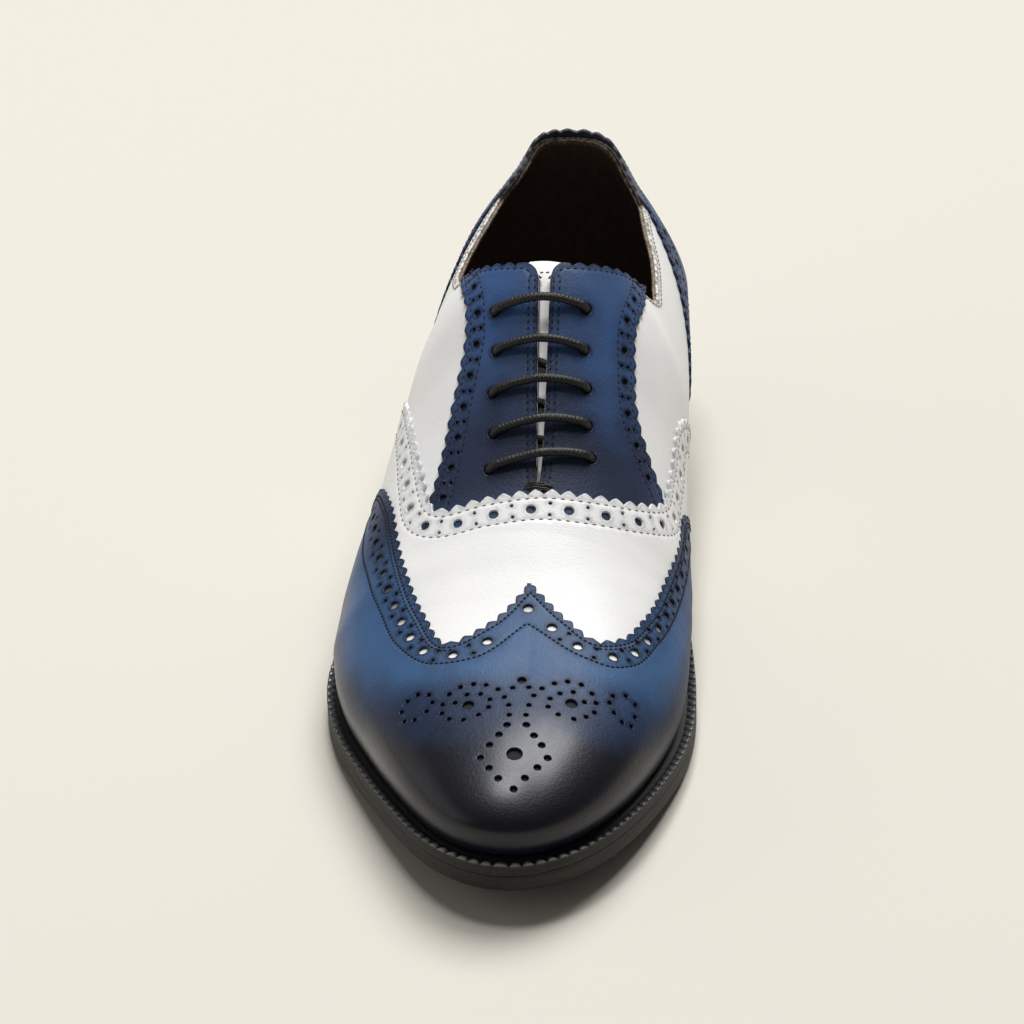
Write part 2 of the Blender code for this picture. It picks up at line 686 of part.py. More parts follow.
def make_lace():
    """Five bars over the slit, joined by the crossings between them."""
    clear = GAP + OVERLAY + GAP + LACE / 2 + LACE_DIP
    bars = []
    for pair in range(len(EYELETS.rows)):
        row = dict(zip(EYELETS.names, EYELETS.rows[pair]))
        start = np.array([row["lateral_across"] * BALL_WIDTH, y_of(row["lateral_along"])])
        end = np.array([row["medial_across"] * BALL_WIDTH, y_of(row["medial_along"])])
        bars.append((start, end))
    lace = None
    for start, end in bars:
        spots = [start + (end - start) * share for share in np.linspace(0, 1, 9)]
        bar = tube("lace", [raised_point(x, y, clear) for x, y in spots], LACE / 2)
        if lace is None:
            lace = bar
            continue
        bar.name = "lace_bar"
        hide_cutter(bar)
        cut(lace, bar, "UNION")
    for (start, end), (next_start, next_end) in zip(bars, bars[1:]):
        upper_spot = start * 0.62 + end * 0.38
        lower_spot = next_start * 0.42 + next_end * 0.58
        spots = [upper_spot + (lower_spot - upper_spot) * share for share in np.linspace(0, 1, 4)]
        heights = [clear, clear - LACE_DIP * 0.8, clear - LACE_DIP * 0.8, clear]
        points = [raised_point(x, y, height) for (x, y), height in zip(spots, heights)]
        crossing = tube("lace_crossing", points, LACE * 0.42)
        hide_cutter(crossing)
        cut(lace, crossing, "UNION")
    return lace


def hide_cutter(piece):
    piece.hide_render = True
    piece.display_type = "WIRE"


def stand_at_origin():
    """Puts the middle of the shoe's box over the origin, by way of one parent empty."""
    bpy.context.view_layer.update()
    depsgraph = bpy.context.evaluated_depsgraph_get()
    spots = []
    for piece in bpy.data.objects:
        if not piece.hide_render:
            shape = piece.evaluated_get(depsgraph)
            spots += [Vector(corner) for corner in shape.bound_box]
    spots = np.array(spots)
    middle = (spots.min(axis=0) + spots.max(axis=0)) / 2
    shoe = bpy.data.objects.new("shoe", None)
    bpy.context.scene.collection.objects.link(shoe)
    for piece in bpy.data.objects:
        if piece is not shoe:
            piece.parent = shoe
    shoe.location = (-middle[0], -middle[1], 0.0)


def main():
    for piece in list(bpy.data.objects):
        bpy.data.objects.remove(piece, do_unlink=True)
    make_upper(upper_sheet())
    make_overlays(upper_sheet(OVERLAY_FOOT))
    make_tongue()
    make_insole()
    make_welt()
    make_outsole()
    make_heel()
    make_lace()
    stand_at_origin()


main()
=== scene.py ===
# %% [markdown]
# A wing-tipped spectator shoe in white and blue leather, the wearer's right shoe.
#
# A shoe like this is made over a last, a solid form of the foot. Everything here is made the same
# way: one curved surface stands for the last, flat patterns are drawn on it, and each leather piece
# is laid over it with its own thickness, punched holes, gimped edge and stitches.

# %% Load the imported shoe
import math

import bmesh
import bpy
import numpy as np
from mathutils import Matrix, Vector
from mathutils.bvhtree import BVHTree
from mathutils.geometry import delaunay_2d_cdt
from mathutils.kdtree import KDTree


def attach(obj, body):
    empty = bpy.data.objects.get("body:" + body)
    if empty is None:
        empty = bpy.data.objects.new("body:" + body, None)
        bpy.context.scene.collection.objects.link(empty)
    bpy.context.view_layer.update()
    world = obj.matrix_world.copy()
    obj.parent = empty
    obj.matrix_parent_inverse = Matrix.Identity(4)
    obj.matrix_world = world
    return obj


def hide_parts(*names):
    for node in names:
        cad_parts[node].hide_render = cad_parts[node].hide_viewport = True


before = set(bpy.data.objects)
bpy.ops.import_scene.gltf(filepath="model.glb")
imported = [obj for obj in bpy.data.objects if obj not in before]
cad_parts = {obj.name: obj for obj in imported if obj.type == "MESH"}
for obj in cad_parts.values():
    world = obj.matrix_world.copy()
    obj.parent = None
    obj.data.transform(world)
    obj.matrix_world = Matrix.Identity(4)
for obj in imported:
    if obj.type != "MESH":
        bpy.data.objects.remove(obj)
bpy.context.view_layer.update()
print("CAD nodes:", ", ".join(sorted(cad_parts)))

# %% [markdown]
# The last is a row of cross ribs. Each rib runs from the ridge of the instep out to the widest
# line, then down to the feather line, where the upper meets the welt. A few named tables carry its
# outline, its sections and its heights, and they are read as smooth curves. These are the same
# tables that the CAD part is made from, so every leather piece lands on its own solid.

# %% Tables read as smooth curves
class Table:
    """A short table with named columns, read as smooth curves of its first column."""

    def __init__(self, names, rows):
        self.names = names.split()
        self.rows = np.array(rows, dtype=float)

    def read(self, name, at):
        x = self.rows[:, 0]
        y = self.rows[:, self.names.index(name)]
        step = np.diff(x)
        rise = np.diff(y) / step
        slope = np.empty_like(y)
        slope[0] = rise[0]
        slope[-1] = rise[-1]
        slope[1:-1] = (rise[:-1] * step[1:] + rise[1:] * step[:-1]) / (step[:-1] + step[1:])
        at = np.clip(np.asarray(at, dtype=float), x[0], x[-1])
        i = np.clip(np.searchsorted(x, at, side="right") - 1, 0, len(x) - 2)
        t = (at - x[i]) / step[i]
        start = (1 + 2 * t) * (1 - t) ** 2 * y[i] + t * (1 - t) ** 2 * step[i] * slope[i]
        end = t * t * (3 - 2 * t) * y[i + 1] + t * t * (t - 1) * step[i] * slope[i + 1]
        return start + end


# %% Sizes and tables of the last, in metres
MM = 0.001
LENGTH = 0.292
BALL_WIDTH = 0.1066
QUARTER_WIDTH = 0.081
BULGE_HEIGHT = 0.024
TUCK = 0.008
INSTEP_HEIGHT = 0.0833
TOE_SWING = 0.0063
RIDGE_SWING = 0.0096
HEEL_LIFT = 0.0212
TOE_SPRING = 0.0094
OUTSOLE = 0.0057
WELT = 0.0035
WELT_EDGE = 0.0056
TOP_LIFT = 0.006
HEEL_LENGTH = 0.071
THROAT = 0.168 / LENGTH
SLIT_TOP = 0.0017
GAP = 0.0003
STAND = np.array([0.001809, 0.001138, 0.0])

PLAN = Table("along quarter ball centre", [
    (0.00, 0.426, 0.000, 0.00), (0.10, 0.457, 0.000, 0.03), (0.20, 0.500, 0.000, 0.00),
    (0.30, 0.540, 0.000, -0.05), (0.40, 0.282, 0.214, -0.21), (0.50, 0.000, 0.457, -0.35),
    (0.60, 0.000, 0.490, -0.41), (0.68, 0.000, 0.500, -0.30), (0.76, 0.000, 0.489, 0.08),
    (0.84, 0.000, 0.458, 0.54), (0.92, 0.000, 0.430, 0.89), (1.00, 0.000, 0.413, 1.00)])
HEEL_ROUND = (0.12, 2.1)
TOE_ROUND = (0.37, 2.15)
SECTION = Table("along bulge tuck ridge lean square arch", [
    (0.000, 1.00, 0.56, 1.040, 0.000, 3.00, 1.95), (0.030, 1.00, 0.58, 0.990, 0.000, 1.75, 1.50),
    (0.060, 1.00, 0.60, 0.955, 0.000, 1.42, 1.40), (0.100, 1.00, 0.63, 0.925, 0.000, 1.40, 1.36),
    (0.150, 0.97, 0.69, 0.930, 0.010, 1.46, 1.36), (0.200, 0.92, 0.75, 0.955, 0.030, 1.64, 1.36),
    (0.250, 0.86, 0.85, 0.990, 0.045, 1.76, 1.38), (0.300, 0.79, 0.94, 1.020, 0.060, 1.66, 1.48),
    (0.335, 0.75, 0.97, 1.012, 0.080, 1.87, 1.62),
    (0.37, 0.71, 1.00, 1.000, 0.10, 2.00, 1.60), (0.44, 0.63, 0.88, 0.876, 0.21, 1.95, 1.50),
    (0.50, 0.54, 0.69, 0.771, 0.33, 1.90, 1.50), (0.57, 0.50, 0.50, 0.646, 0.45, 1.95, 1.60),
    (0.64, 0.42, 0.38, 0.549, 0.52, 2.00, 1.75), (0.71, 0.40, 0.28, 0.466, 0.57, 2.10, 1.85),
    (0.78, 0.38, 0.25, 0.400, 0.66, 2.15, 1.90), (0.85, 0.33, 0.25, 0.342, 0.76, 2.20, 2.00),
    (0.92, 0.33, 0.25, 0.294, 0.90, 2.30, 2.00), (1.00, 0.33, 0.25, 0.250, 1.00, 2.30, 2.00)])
HEEL_POLE = 0.13
TOE_POLE = 0.83
POLE_SOFTNESS = 0.04
SOLE_LINE = Table("along heel toe", [
    (0.00, 1.000, 0.000), (0.10, 1.000, 0.000), (0.20, 0.915, 0.000), (0.30, 0.726, 0.000),
    (0.37, 0.561, 0.000), (0.44, 0.387, 0.000), (0.50, 0.236, 0.000), (0.57, 0.090, 0.000),
    (0.63, 0.000, 0.000), (0.67, 0.000, 0.000), (0.71, 0.000, 0.000), (0.78, 0.000, 0.149),
    (0.85, 0.000, 0.426), (0.92, 0.000, 0.713), (1.00, 0.000, 1.000)])
EDGE = Table("along out", [
    (0.00, 0.18), (0.20, 0.18), (0.30, 0.27), (0.42, 0.50), (0.52, 0.82), (0.60, 0.96), (1.00, 1.00)])
TOPLINE = Table("along lateral medial", [
    (0.000, 0.830, 0.830), (0.015, 0.720, 0.760), (0.035, 0.615, 0.700), (0.070, 0.545, 0.665),
    (0.100, 0.575, 0.665), (0.130, 0.620, 0.680), (0.160, 0.670, 0.705), (0.190, 0.720, 0.745),
    (0.220, 0.752, 0.764), (0.250, 0.755, 0.768), (0.280, 0.710, 0.762), (0.295, 0.680, 0.715),
    (0.305, 0.662, 0.660), (0.322, 0.610, 0.565), (0.332, 0.560, 0.500), (0.340, 0.505, 0.440),
    (0.349, 0.430, 0.375), (0.358, 0.330, 0.290), (0.366, 0.200, 0.180), (0.373, 0.100, 0.095),
    (0.380, 0.040, 0.040)])
SLIT_START = TOPLINE.rows[-1, 0]
TIP = 1e-5


def unit(vectors):
    """The same directions, each of length one."""
    return vectors / (np.linalg.norm(vectors, axis=-1)[..., None] + 1e-15)


def y_of(along):
    return LENGTH * (0.5 - np.asarray(along, dtype=float))


def along_of(y):
    return np.clip(0.5 - y / LENGTH, 0.0, 1.0)


def outline(along):
    """Centre and half width of the widest line."""
    along = np.clip(along, TIP, 1 - TIP)
    half = PLAN.read("quarter", along) * QUARTER_WIDTH + PLAN.read("ball", along) * BALL_WIDTH
    back = np.clip((HEEL_ROUND[0] - along) / HEEL_ROUND[0], 0, 1)
    front = np.clip((along - 1 + TOE_ROUND[0]) / TOE_ROUND[0], 0, 1)
    half = half * np.maximum(1 - back ** HEEL_ROUND[1], 0) ** (1 / HEEL_ROUND[1])
    half = half * np.maximum(1 - front ** TOE_ROUND[1], 0) ** (1 / TOE_ROUND[1])
    return PLAN.read("centre", along) * TOE_SWING, half


def sole_height(along):
    rise = SOLE_LINE.read("heel", along) * HEEL_LIFT + SOLE_LINE.read("toe", along) * TOE_SPRING
    return np.maximum(rise, 0)


def feather_height(along):
    return sole_height(along) + OUTSOLE + GAP + WELT + GAP


def bulge_height(along):
    return feather_height(along) + SECTION.read("bulge", along) * BULGE_HEIGHT


def ridge_height(along):
    return feather_height(along) + SECTION.read("ridge", along) * INSTEP_HEIGHT


def spine(along):
    """Where a rib's centre lies along the ridge: it stops softly at the heel and toe poles."""
    def soft(d):
        return (d + np.sqrt(d * d + POLE_SOFTNESS ** 2)) / 2
    return TOE_POLE - soft(TOE_POLE - HEEL_POLE - soft(along - HEEL_POLE))


def ridge_x(along):
    return SECTION.read("lean", along) * RIDGE_SWING


def side_point(along, side):
    centre, half = outline(along)
    return np.stack([centre + side * half, y_of(along) + 0 * side], -1)


def outward(along, side):
    """Unit vectors square to the outline, pointing away from the shoe."""
    along = np.clip(along, 20 * TIP, 1 - 20 * TIP)
    step = unit(side_point(along + 10 * TIP, side) - side_point(along - 10 * TIP, side))
    return np.stack([-step[..., 1] * side, step[..., 0] * side], -1)


def edge_point(along, side, out):
    """A point in plan at a distance outside the feather line."""
    tuck = SECTION.read("tuck", along) * TUCK
    return side_point(along, side) + outward(along, side) * (out - tuck)[..., None]


def last_point(along, side, run):
    """A point on the last: run is 0 on the ridge, 1 on the widest line and 2 at the feather."""
    along, side, run = np.broadcast_arrays(along, side, run)
    foot = side_point(along, side)
    pole = spine(along)
    head = np.stack([ridge_x(pole), y_of(pole)], -1)
    turn = np.clip(run, 0, 1) * math.pi / 2
    share = np.sin(turn) ** (2 / SECTION.read("square", along))
    spot = head + (foot - head) * share[..., None]
    at = along_of(spot[..., 1])
    rise = np.maximum(np.cos(turn), 0) ** (2 / SECTION.read("arch", along))
    high = bulge_height(at) + (ridge_height(at) - bulge_height(at)) * rise
    down = np.clip(run - 1, 0, 1)
    tuck = SECTION.read("tuck", along) * TUCK * down ** 2.5
    wall = foot - outward(along, side) * tuck[..., None]
    low = feather_height(along) + SECTION.read("bulge", along) * BULGE_HEIGHT * (1 - down)
    plan = np.where((run > 1)[..., None], wall, spot)
    return np.concatenate([plan, np.where(run > 1, low, high)[..., None]], -1)


# %% [markdown]
# Two numbers name any spot on the last. The station runs from 0 at the heel to 1 at the toe, in
# equal steps along the outline. The reach runs along a rib by its real length, from 0 on the ridge
# to 1 at the feather line, and is negative on the outer side of the foot. A dense net of such spots
# lets a tree search turn any point in space back into its station and reach.

# %% Stations, reaches and the net of the last
STATIONS = 420
REACHES = 150

FINE_ALONG = (1 - np.cos(np.linspace(0, math.pi, 6001))) / 2
lengths = 0
for side in (-1.0, 1.0):
    walk = side_point(FINE_ALONG, np.full_like(FINE_ALONG, side))
    lengths = lengths + np.linalg.norm(np.diff(walk, axis=0), axis=1) / 2
reached = np.concatenate([[0], np.cumsum(lengths)])
PERIMETER = reached[-1]
FINE_STATION = reached / PERIMETER


def along_at(station):
    return np.interp(station, FINE_STATION, FINE_ALONG)


def station_at(along):
    return np.interp(along, FINE_ALONG, FINE_STATION)


station_grid = np.linspace(0, 1, STATIONS)
run_table = np.zeros((2, STATIONS, REACHES))
RIB_LENGTH = np.zeros((2, STATIONS))
runs = np.linspace(0, 2, 401)
for k, side in enumerate((-1.0, 1.0)):
    net = last_point(along_at(station_grid)[:, None], side, runs[None, :])
    arcs = np.linalg.norm(np.diff(net, axis=1), axis=2)
    arcs = np.concatenate([np.zeros((STATIONS, 1)), np.cumsum(arcs, axis=1)], axis=1)
    RIB_LENGTH[k] = arcs[:, -1]
    for i in range(STATIONS):
        even = np.linspace(0, arcs[i, -1], REACHES)
        run_table[k, i] = np.interp(even, arcs[i], runs)


def run_at(station, reach):
    """The rib's own running number, for a station and a reach."""
    k = (reach > 0).astype(int)
    u = np.clip(station, 0, 1) * (STATIONS - 1)
    v = np.clip(np.abs(reach), 0, 1) * (REACHES - 1)
    i = np.minimum(u.astype(int), STATIONS - 2)
    j = np.minimum(v.astype(int), REACHES - 2)
    a = u - i
    b = v - j
    low = run_table[k, i, j] * (1 - b) + run_table[k, i, j + 1] * b
    high = run_table[k, i + 1, j] * (1 - b) + run_table[k, i + 1, j + 1] * b
    return low * (1 - a) + high * a


def rib_length(station, reach):
    lateral = np.interp(station, station_grid, RIB_LENGTH[0])
    medial = np.interp(station, station_grid, RIB_LENGTH[1])
    return np.where(reach > 0, medial, lateral)


def surface(station, reach):
    """Points on the last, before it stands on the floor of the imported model."""
    station = np.asarray(station, dtype=float)
    reach = np.asarray(reach, dtype=float)
    side = np.where(reach > 0, 1.0, -1.0)
    return last_point(along_at(station), side, run_at(station, reach))


def surface_at(spots):
    """Points on the last for pairs of a station and a reach."""
    return surface(spots[..., 0], spots[..., 1])


def reach_of_run(station, side, run):
    """The reach at which a rib has a given running number."""
    k = 1 if side > 0 else 0
    out = []
    for s, r in zip(np.atleast_1d(station), np.atleast_1d(run)):
        i = min(int(round(s * (STATIONS - 1))), STATIONS - 1)
        out.append(np.interp(r, run_table[k, i], np.linspace(0, 1, REACHES)))
    return np.array(out) * side


net_station, net_reach = np.meshgrid(station_grid, np.linspace(-1, 1, 2 * REACHES - 1), indexing="ij")
NET_SPOTS = np.stack([net_station.ravel(), net_reach.ravel()], -1)
NET_POINTS = surface_at(NET_SPOTS)
across = 2 * REACHES - 1
corner = (np.arange(STATIONS - 1)[:, None] * across + np.arange(across - 1)[None, :]).ravel()
NET_FACES = np.concatenate([
    np.stack([corner, corner + across, corner + across + 1], -1),
    np.stack([corner, corner + across + 1, corner + 1], -1)])
LAST_TREE = BVHTree.FromPolygons(NET_POINTS.tolist(), NET_FACES.tolist())
print("Perimeter of one side:", round(PERIMETER, 4), "m; net faces:", len(NET_FACES))


def weigh(points, corners):
    """Shares of a triangle's three corners at points that lie in it."""
    a, b, c = corners[:, 0], corners[:, 1], corners[:, 2]
    ab, ac, ap = b - a, c - a, points - a
    d00 = (ab * ab).sum(1)
    d01 = (ab * ac).sum(1)
    d11 = (ac * ac).sum(1)
    d20 = (ap * ab).sum(1)
    d21 = (ap * ac).sum(1)
    area = np.maximum(d00 * d11 - d01 * d01, 1e-24)
    v = (d11 * d20 - d01 * d21) / area
    w = (d00 * d21 - d01 * d20) / area
    shares = np.clip(np.stack([1 - v - w, v, w], -1), 0, 1)
    return shares / shares.sum(1)[:, None]


def nearest_spots(tree, net, faces, points):
    """Stations and reaches of the places on a net that lie nearest to some points."""
    found = [tree.find_nearest(point) for point in np.asarray(points).tolist()]
    near = np.array([hit[0] for hit in found])
    face = faces[[hit[2] for hit in found]]
    shares = weigh(near, net[face])
    return (NET_SPOTS[face] * shares[:, :, None]).sum(1)


def on_last(points):
    return nearest_spots(LAST_TREE, NET_POINTS, NET_FACES, points)


def laid(line):
    """Points pulled onto the last."""
    return surface_at(on_last(line))


# %% [markdown]
# A pattern cutter works on flat leather. Two flat charts of the last do that here. The top chart
# unrolls the forepart from the ridge, with the ribs laid out straight and fanned round the toe. The
# side chart unrolls the walls round the heel. Edges, holes and stitches are drawn as curves in
# space, laid on the last, and carried to a chart, where a triangulation fills the piece.

# %% Flat charts
ridge_fine = np.linspace(0, 1, 2001)
ridge_line = np.stack([ridge_x(ridge_fine), y_of(ridge_fine), ridge_height(ridge_fine)], -1)
ridge_arc = np.concatenate([[0], np.cumsum(np.linalg.norm(np.diff(ridge_line, axis=0), axis=1))])


def top_flat(spots):
    station, reach = spots[:, 0], spots[:, 1]
    along = along_at(station)
    side = np.where(reach > 0, 1.0, -1.0)
    pole = spine(along)
    head = np.stack([ridge_x(pole), y_of(pole)], -1)
    aim = unit(side_point(along, side) - head)
    start = np.stack([ridge_x(pole), -np.interp(pole, ridge_fine, ridge_arc)], -1)
    return start + aim * (np.abs(reach) * rib_length(station, reach))[:, None]


def side_flat(spots):
    station, reach = spots[:, 0], spots[:, 1]
    side = np.where(reach > 0, 1.0, -1.0)
    up = (1 - np.abs(reach)) * rib_length(station, reach)
    return np.stack([-side * station * PERIMETER, up], -1)


AROUND = np.array([(1, 0), (-1, 0), (0, 1), (0, -1)])
CHART_STEP = 0.0004


def square_to(right, left, ahead, behind):
    """Unit vectors square to a surface, from points on four sides of each spot."""
    return unit(np.cross(right - left, ahead - behind))


def flat_point(flat):
    return np.column_stack([flat, np.zeros(len(flat))])


class Chart:
    """A flat map of part of the last, with the way back from flat spots to stations and reaches."""

    def __init__(self, flat, keep):
        self.flat = flat
        self.net = flat_point(flat(NET_SPOTS))
        self.faces = NET_FACES[keep(NET_SPOTS[NET_FACES])]
        self.tree = BVHTree.FromPolygons(self.net.tolist(), self.faces.tolist())

    def back(self, flat):
        return nearest_spots(self.tree, self.net, self.faces, flat_point(flat))

    def draw(self, points):
        """Flat spots of points in space."""
        return self.flat(on_last(points))

    def place(self, flat):
        """Points on the last and their normals, for flat spots."""
        around = [surface_at(self.back(flat + shift)) for shift in AROUND * CHART_STEP]
        return surface_at(self.back(flat)), square_to(*around)


top_chart = Chart(top_flat, lambda spots: spots[:, :, 0].min(1) > 0.22)
side_chart = Chart(side_flat, lambda spots: (np.abs(spots[:, :, 1]).min(1) > 0.12)
                   & (spots[:, :, 0].max(1) < 0.62))
print("Flat charts ready:", len(top_chart.faces), "and", len(side_chart.faces), "faces")


# %% [markdown]
# Every edge, seam and row of holes starts as a line in space. A few helpers measure such a line,
# space it evenly, lay it on the last, move it sideways over the surface, and cut it into teeth. The
# teeth are gimping, the zigzag that a brogue's edges get from a toothed iron.

# %% Lines on the last
def measure(line):
    """Distance run along a line at each of its points."""
    return np.concatenate([[0], np.cumsum(np.linalg.norm(np.diff(line, axis=0), axis=1))])


def read_along(line, values, at):
    """Values known at a line's points, read at distances along it."""
    run = measure(line)
    return np.column_stack([np.interp(at, run, column) for column in values.T])


def at_runs(line, at):
    return read_along(line, line, at)


def respace(line, step):
    """The same line with points at even steps."""
    reach = measure(line)[-1]
    count = max(int(round(reach / step)), 2)
    return at_runs(line, np.linspace(0, reach, count + 1))


def smooth_line(points, step=0.0005):
    """A smooth line through a few points given in millimetres."""
    points = np.array(points, dtype=float) * MM
    run = measure(points)
    names = ["run", "x", "y", "z"][:points.shape[1] + 1]
    table = Table(" ".join(names), np.column_stack([run, points]))
    at = np.linspace(0, run[-1], max(int(run[-1] / step), 2) + 1)
    return np.column_stack([table.read(name, at) for name in names[1:]])


def met(start, aim, near):
    """Where a ray meets the last, or else the spot nearest to a point, in millimetres."""
    hit = LAST_TREE.ray_cast(start, aim)[0]
    if hit is None:
        hit = LAST_TREE.find_nearest(near)[0]
    return tuple(np.array(hit) / MM)


def from_above(points):
    """Points in plan, in millimetres, dropped onto the last."""
    return [met((x * MM, y * MM, 1.0), (0, 0, -1), (x * MM, y * MM, 0.04)) for x, y in points]


def from_side(points, side):
    """Points seen from the side, as y and height in millimetres, pushed onto the last."""
    return [met((side, y * MM, z * MM), (-side, 0, 0), (side * 0.04, y * MM, z * MM))
            for y, z in points]


def dropped(points):
    """Points in plan, in millimetres, dropped onto the last and given in metres."""
    return np.array(from_above(points)) * MM


def normals_at(points):
    """Outward normals of the last at points on it."""
    found = [LAST_TREE.find_nearest(point) for point in np.asarray(points).tolist()]
    normals = np.array([hit[1] for hit in found])
    middle = np.asarray(points) * (0, 0.9, 0) + (0, 0, 0.03)
    away = ((np.asarray(points) - middle) * normals).sum(1)
    return normals * np.where(away < 0, -1, 1)[:, None]


def sideways(line, closed=False):
    """Unit vectors in the surface, to the left of the line's direction."""
    if closed:
        ahead = np.roll(line, -1, axis=0) - np.roll(line, 1, axis=0)
    else:
        ahead = np.gradient(line, axis=0)
    return unit(np.cross(normals_at(line), ahead))


def beside(line, distance):
    """The line moved over the surface, to its left for positive distances."""
    return laid(line + sideways(line) * distance)


def gimped(line, pitch, depth, side=1.0):
    """A line cut into small rounded teeth that stand out to its left, or its right for side -1."""
    run = measure(line)
    count = max(round(run[-1] / pitch), 1)
    line = respace(line, run[-1] / count / 10)
    phase = np.arange(len(line)) / 10.0 % 1.0
    tooth = 1 - np.abs(2 * phase - 1) ** 1.5 - 0.75
    return laid(line + sideways(line) * (side * depth * tooth)[:, None])


def ring_at(centre, radius, count):
    """A round loop of points on the last about a centre."""
    normal = normals_at(centre[None])[0]
    across = unit(np.cross(normal, (0.0, 1.0, 0.15)))
    over = np.cross(normal, across)
    turn = np.linspace(0, 2 * math.pi, count, endpoint=False)
    return laid(centre + radius * (np.cos(turn)[:, None] * across + np.sin(turn)[:, None] * over))


# %% [markdown]
# Some small tools serve every piece: which flat spots lie inside an outline, how far a spot is from
# an edge or a seam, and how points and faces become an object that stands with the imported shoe.

# %% Meshes and distances
def inside(spots, loop):
    """True for the flat spots that lie inside a closed loop."""
    result = np.zeros(len(spots), dtype=bool)
    x, y = spots[:, 0], spots[:, 1]
    for (ax, ay), (bx, by) in zip(loop, np.roll(loop, -1, axis=0)):
        if ay == by:
            continue
        crosses = (ay > y) != (by > y)
        if crosses.any():
            at = ax + (y - ay) * (bx - ax) / (by - ay)
            result ^= crosses & (x < at)
    return result


def tree_of(points):
    tree = KDTree(len(points))
    for i, point in enumerate(points):
        tree.insert((point[0], point[1], 0.0 if len(point) == 2 else point[2]), i)
    tree.balance()
    return tree


def distance_to(tree, spots):
    return np.array([tree.find((x, y, 0.0))[2] for x, y in np.asarray(spots).tolist()])


def smoothstep(low, high, value):
    t = np.clip((value - low) / (high - low), 0, 1)
    return t * t * (3 - 2 * t)


def new_object(name, points, faces, materials, normals=None, face_slots=None, marks=None):
    """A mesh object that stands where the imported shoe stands."""
    mesh = bpy.data.meshes.new(name)
    mesh.from_pydata((np.asarray(points) + STAND).tolist(), [], [list(face) for face in faces])
    for material in materials:
        mesh.materials.append(material)
    if face_slots is not None:
        mesh.polygons.foreach_set("material_index", face_slots)
    for mark, values in (marks or {}).items():
        layer = mesh.attributes.new(mark, "FLOAT", "POINT")
        layer.data.foreach_set("value", np.asarray(values, dtype=np.float32))
    mesh.shade_smooth()
    if normals is not None:
        mesh.normals_split_custom_set_from_vertices(np.asarray(normals).tolist())
    obj = bpy.data.objects.new(name, mesh)
    bpy.context.scene.collection.objects.link(obj)
    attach(obj, "root")
    return obj


def merged(parts):
    """The points and faces of several meshes, one after the other."""
    points = []
    faces = []
    total = 0
    for more_points, more_faces in parts:
        points.append(more_points)
        faces += [tuple(i + total for i in face) for face in more_faces]
        total += len(more_points)
    return np.concatenate(points), faces


# %% [markdown]
# Worn leather isn't as even as the last. Walking presses troughs across the ball with low ridges
# behind them, and pulling the leather over the last leaves slanting folds on the quarters. Every
# piece of the upper takes the same creases, so the layers stay together.

# %% Creases
# In millimetres: place along the shoe, width, depth and slant of the troughs across the ball
BALL_CREASES = [(-31, 5.0, 0.22, 0.10), (-41, 6.0, 0.28, 0.06), (-52, 5.5, 0.20, 0.12)]
# Place in plan, slant, width and depth of the folds on the quarters
QUARTER_CREASES = [(36, 22, 0.9, 3.0, 0.30), (38, 33, 0.7, 3.5, 0.24), (-34, 18, -0.8, 3.5, 0.24),
                   (-37, 30, -0.6, 3.0, 0.20), (35, 12, 1.1, 2.6, 0.22)]


def creases(points, normals):
    """Soft troughs and ridges that wear and lasting leave in the leather."""
    x, y = points[:, 0] / MM, points[:, 1] / MM
    depth = np.zeros(len(points))
    for at, width, deep, lean in BALL_CREASES:
        across = y - at - lean * (x - 5) + 3.0 * np.sin(x * 0.06)
        depth -= deep * np.exp(-(across / width) ** 2) * smoothstep(8, 30, np.abs(x - 5))
        depth += 0.5 * deep * np.exp(-((across - width * 1.5) / width) ** 2)
    for x0, y0, lean, wide, deep in QUARTER_CREASES:
        across = (y - y0) - lean * (x - x0)
        near = np.exp(-((x - x0) / 9) ** 2) * np.exp(-((y - y0) / 16) ** 2)
        depth -= deep * np.exp(-(across / wide) ** 2) * near
    return normals * (depth * MM)[:, None]


print("Creases:", len(BALL_CREASES), "across the ball,", len(QUARTER_CREASES), "on the quarters")

# %% [markdown]
# A leather piece is a sheet about a millimetre thick with cut edges. Each one is drawn as a flat
# outline with holes, filled with small triangles, and lifted off the last by its own thickness and
# by whatever lies under it. The cut edge turns down in a few narrow rings, and stitched lines pull
# the sheet in a little, which is what makes a seam read as sewn.

# %% A leather piece
OVERLAY = 0.0009
ROUND_EDGE = 0.00032
RIM_ROOM = 0.00042
SEAM_STEP = 0.0009
SEAM_SHIFTS = (-0.0005, 0.0, 0.0005)
SEAM_DEPTH = 0.00016
SEAM_WIDTH = 0.00042
CLEAR = 0.0001
LIFT_STEP = 0.00035


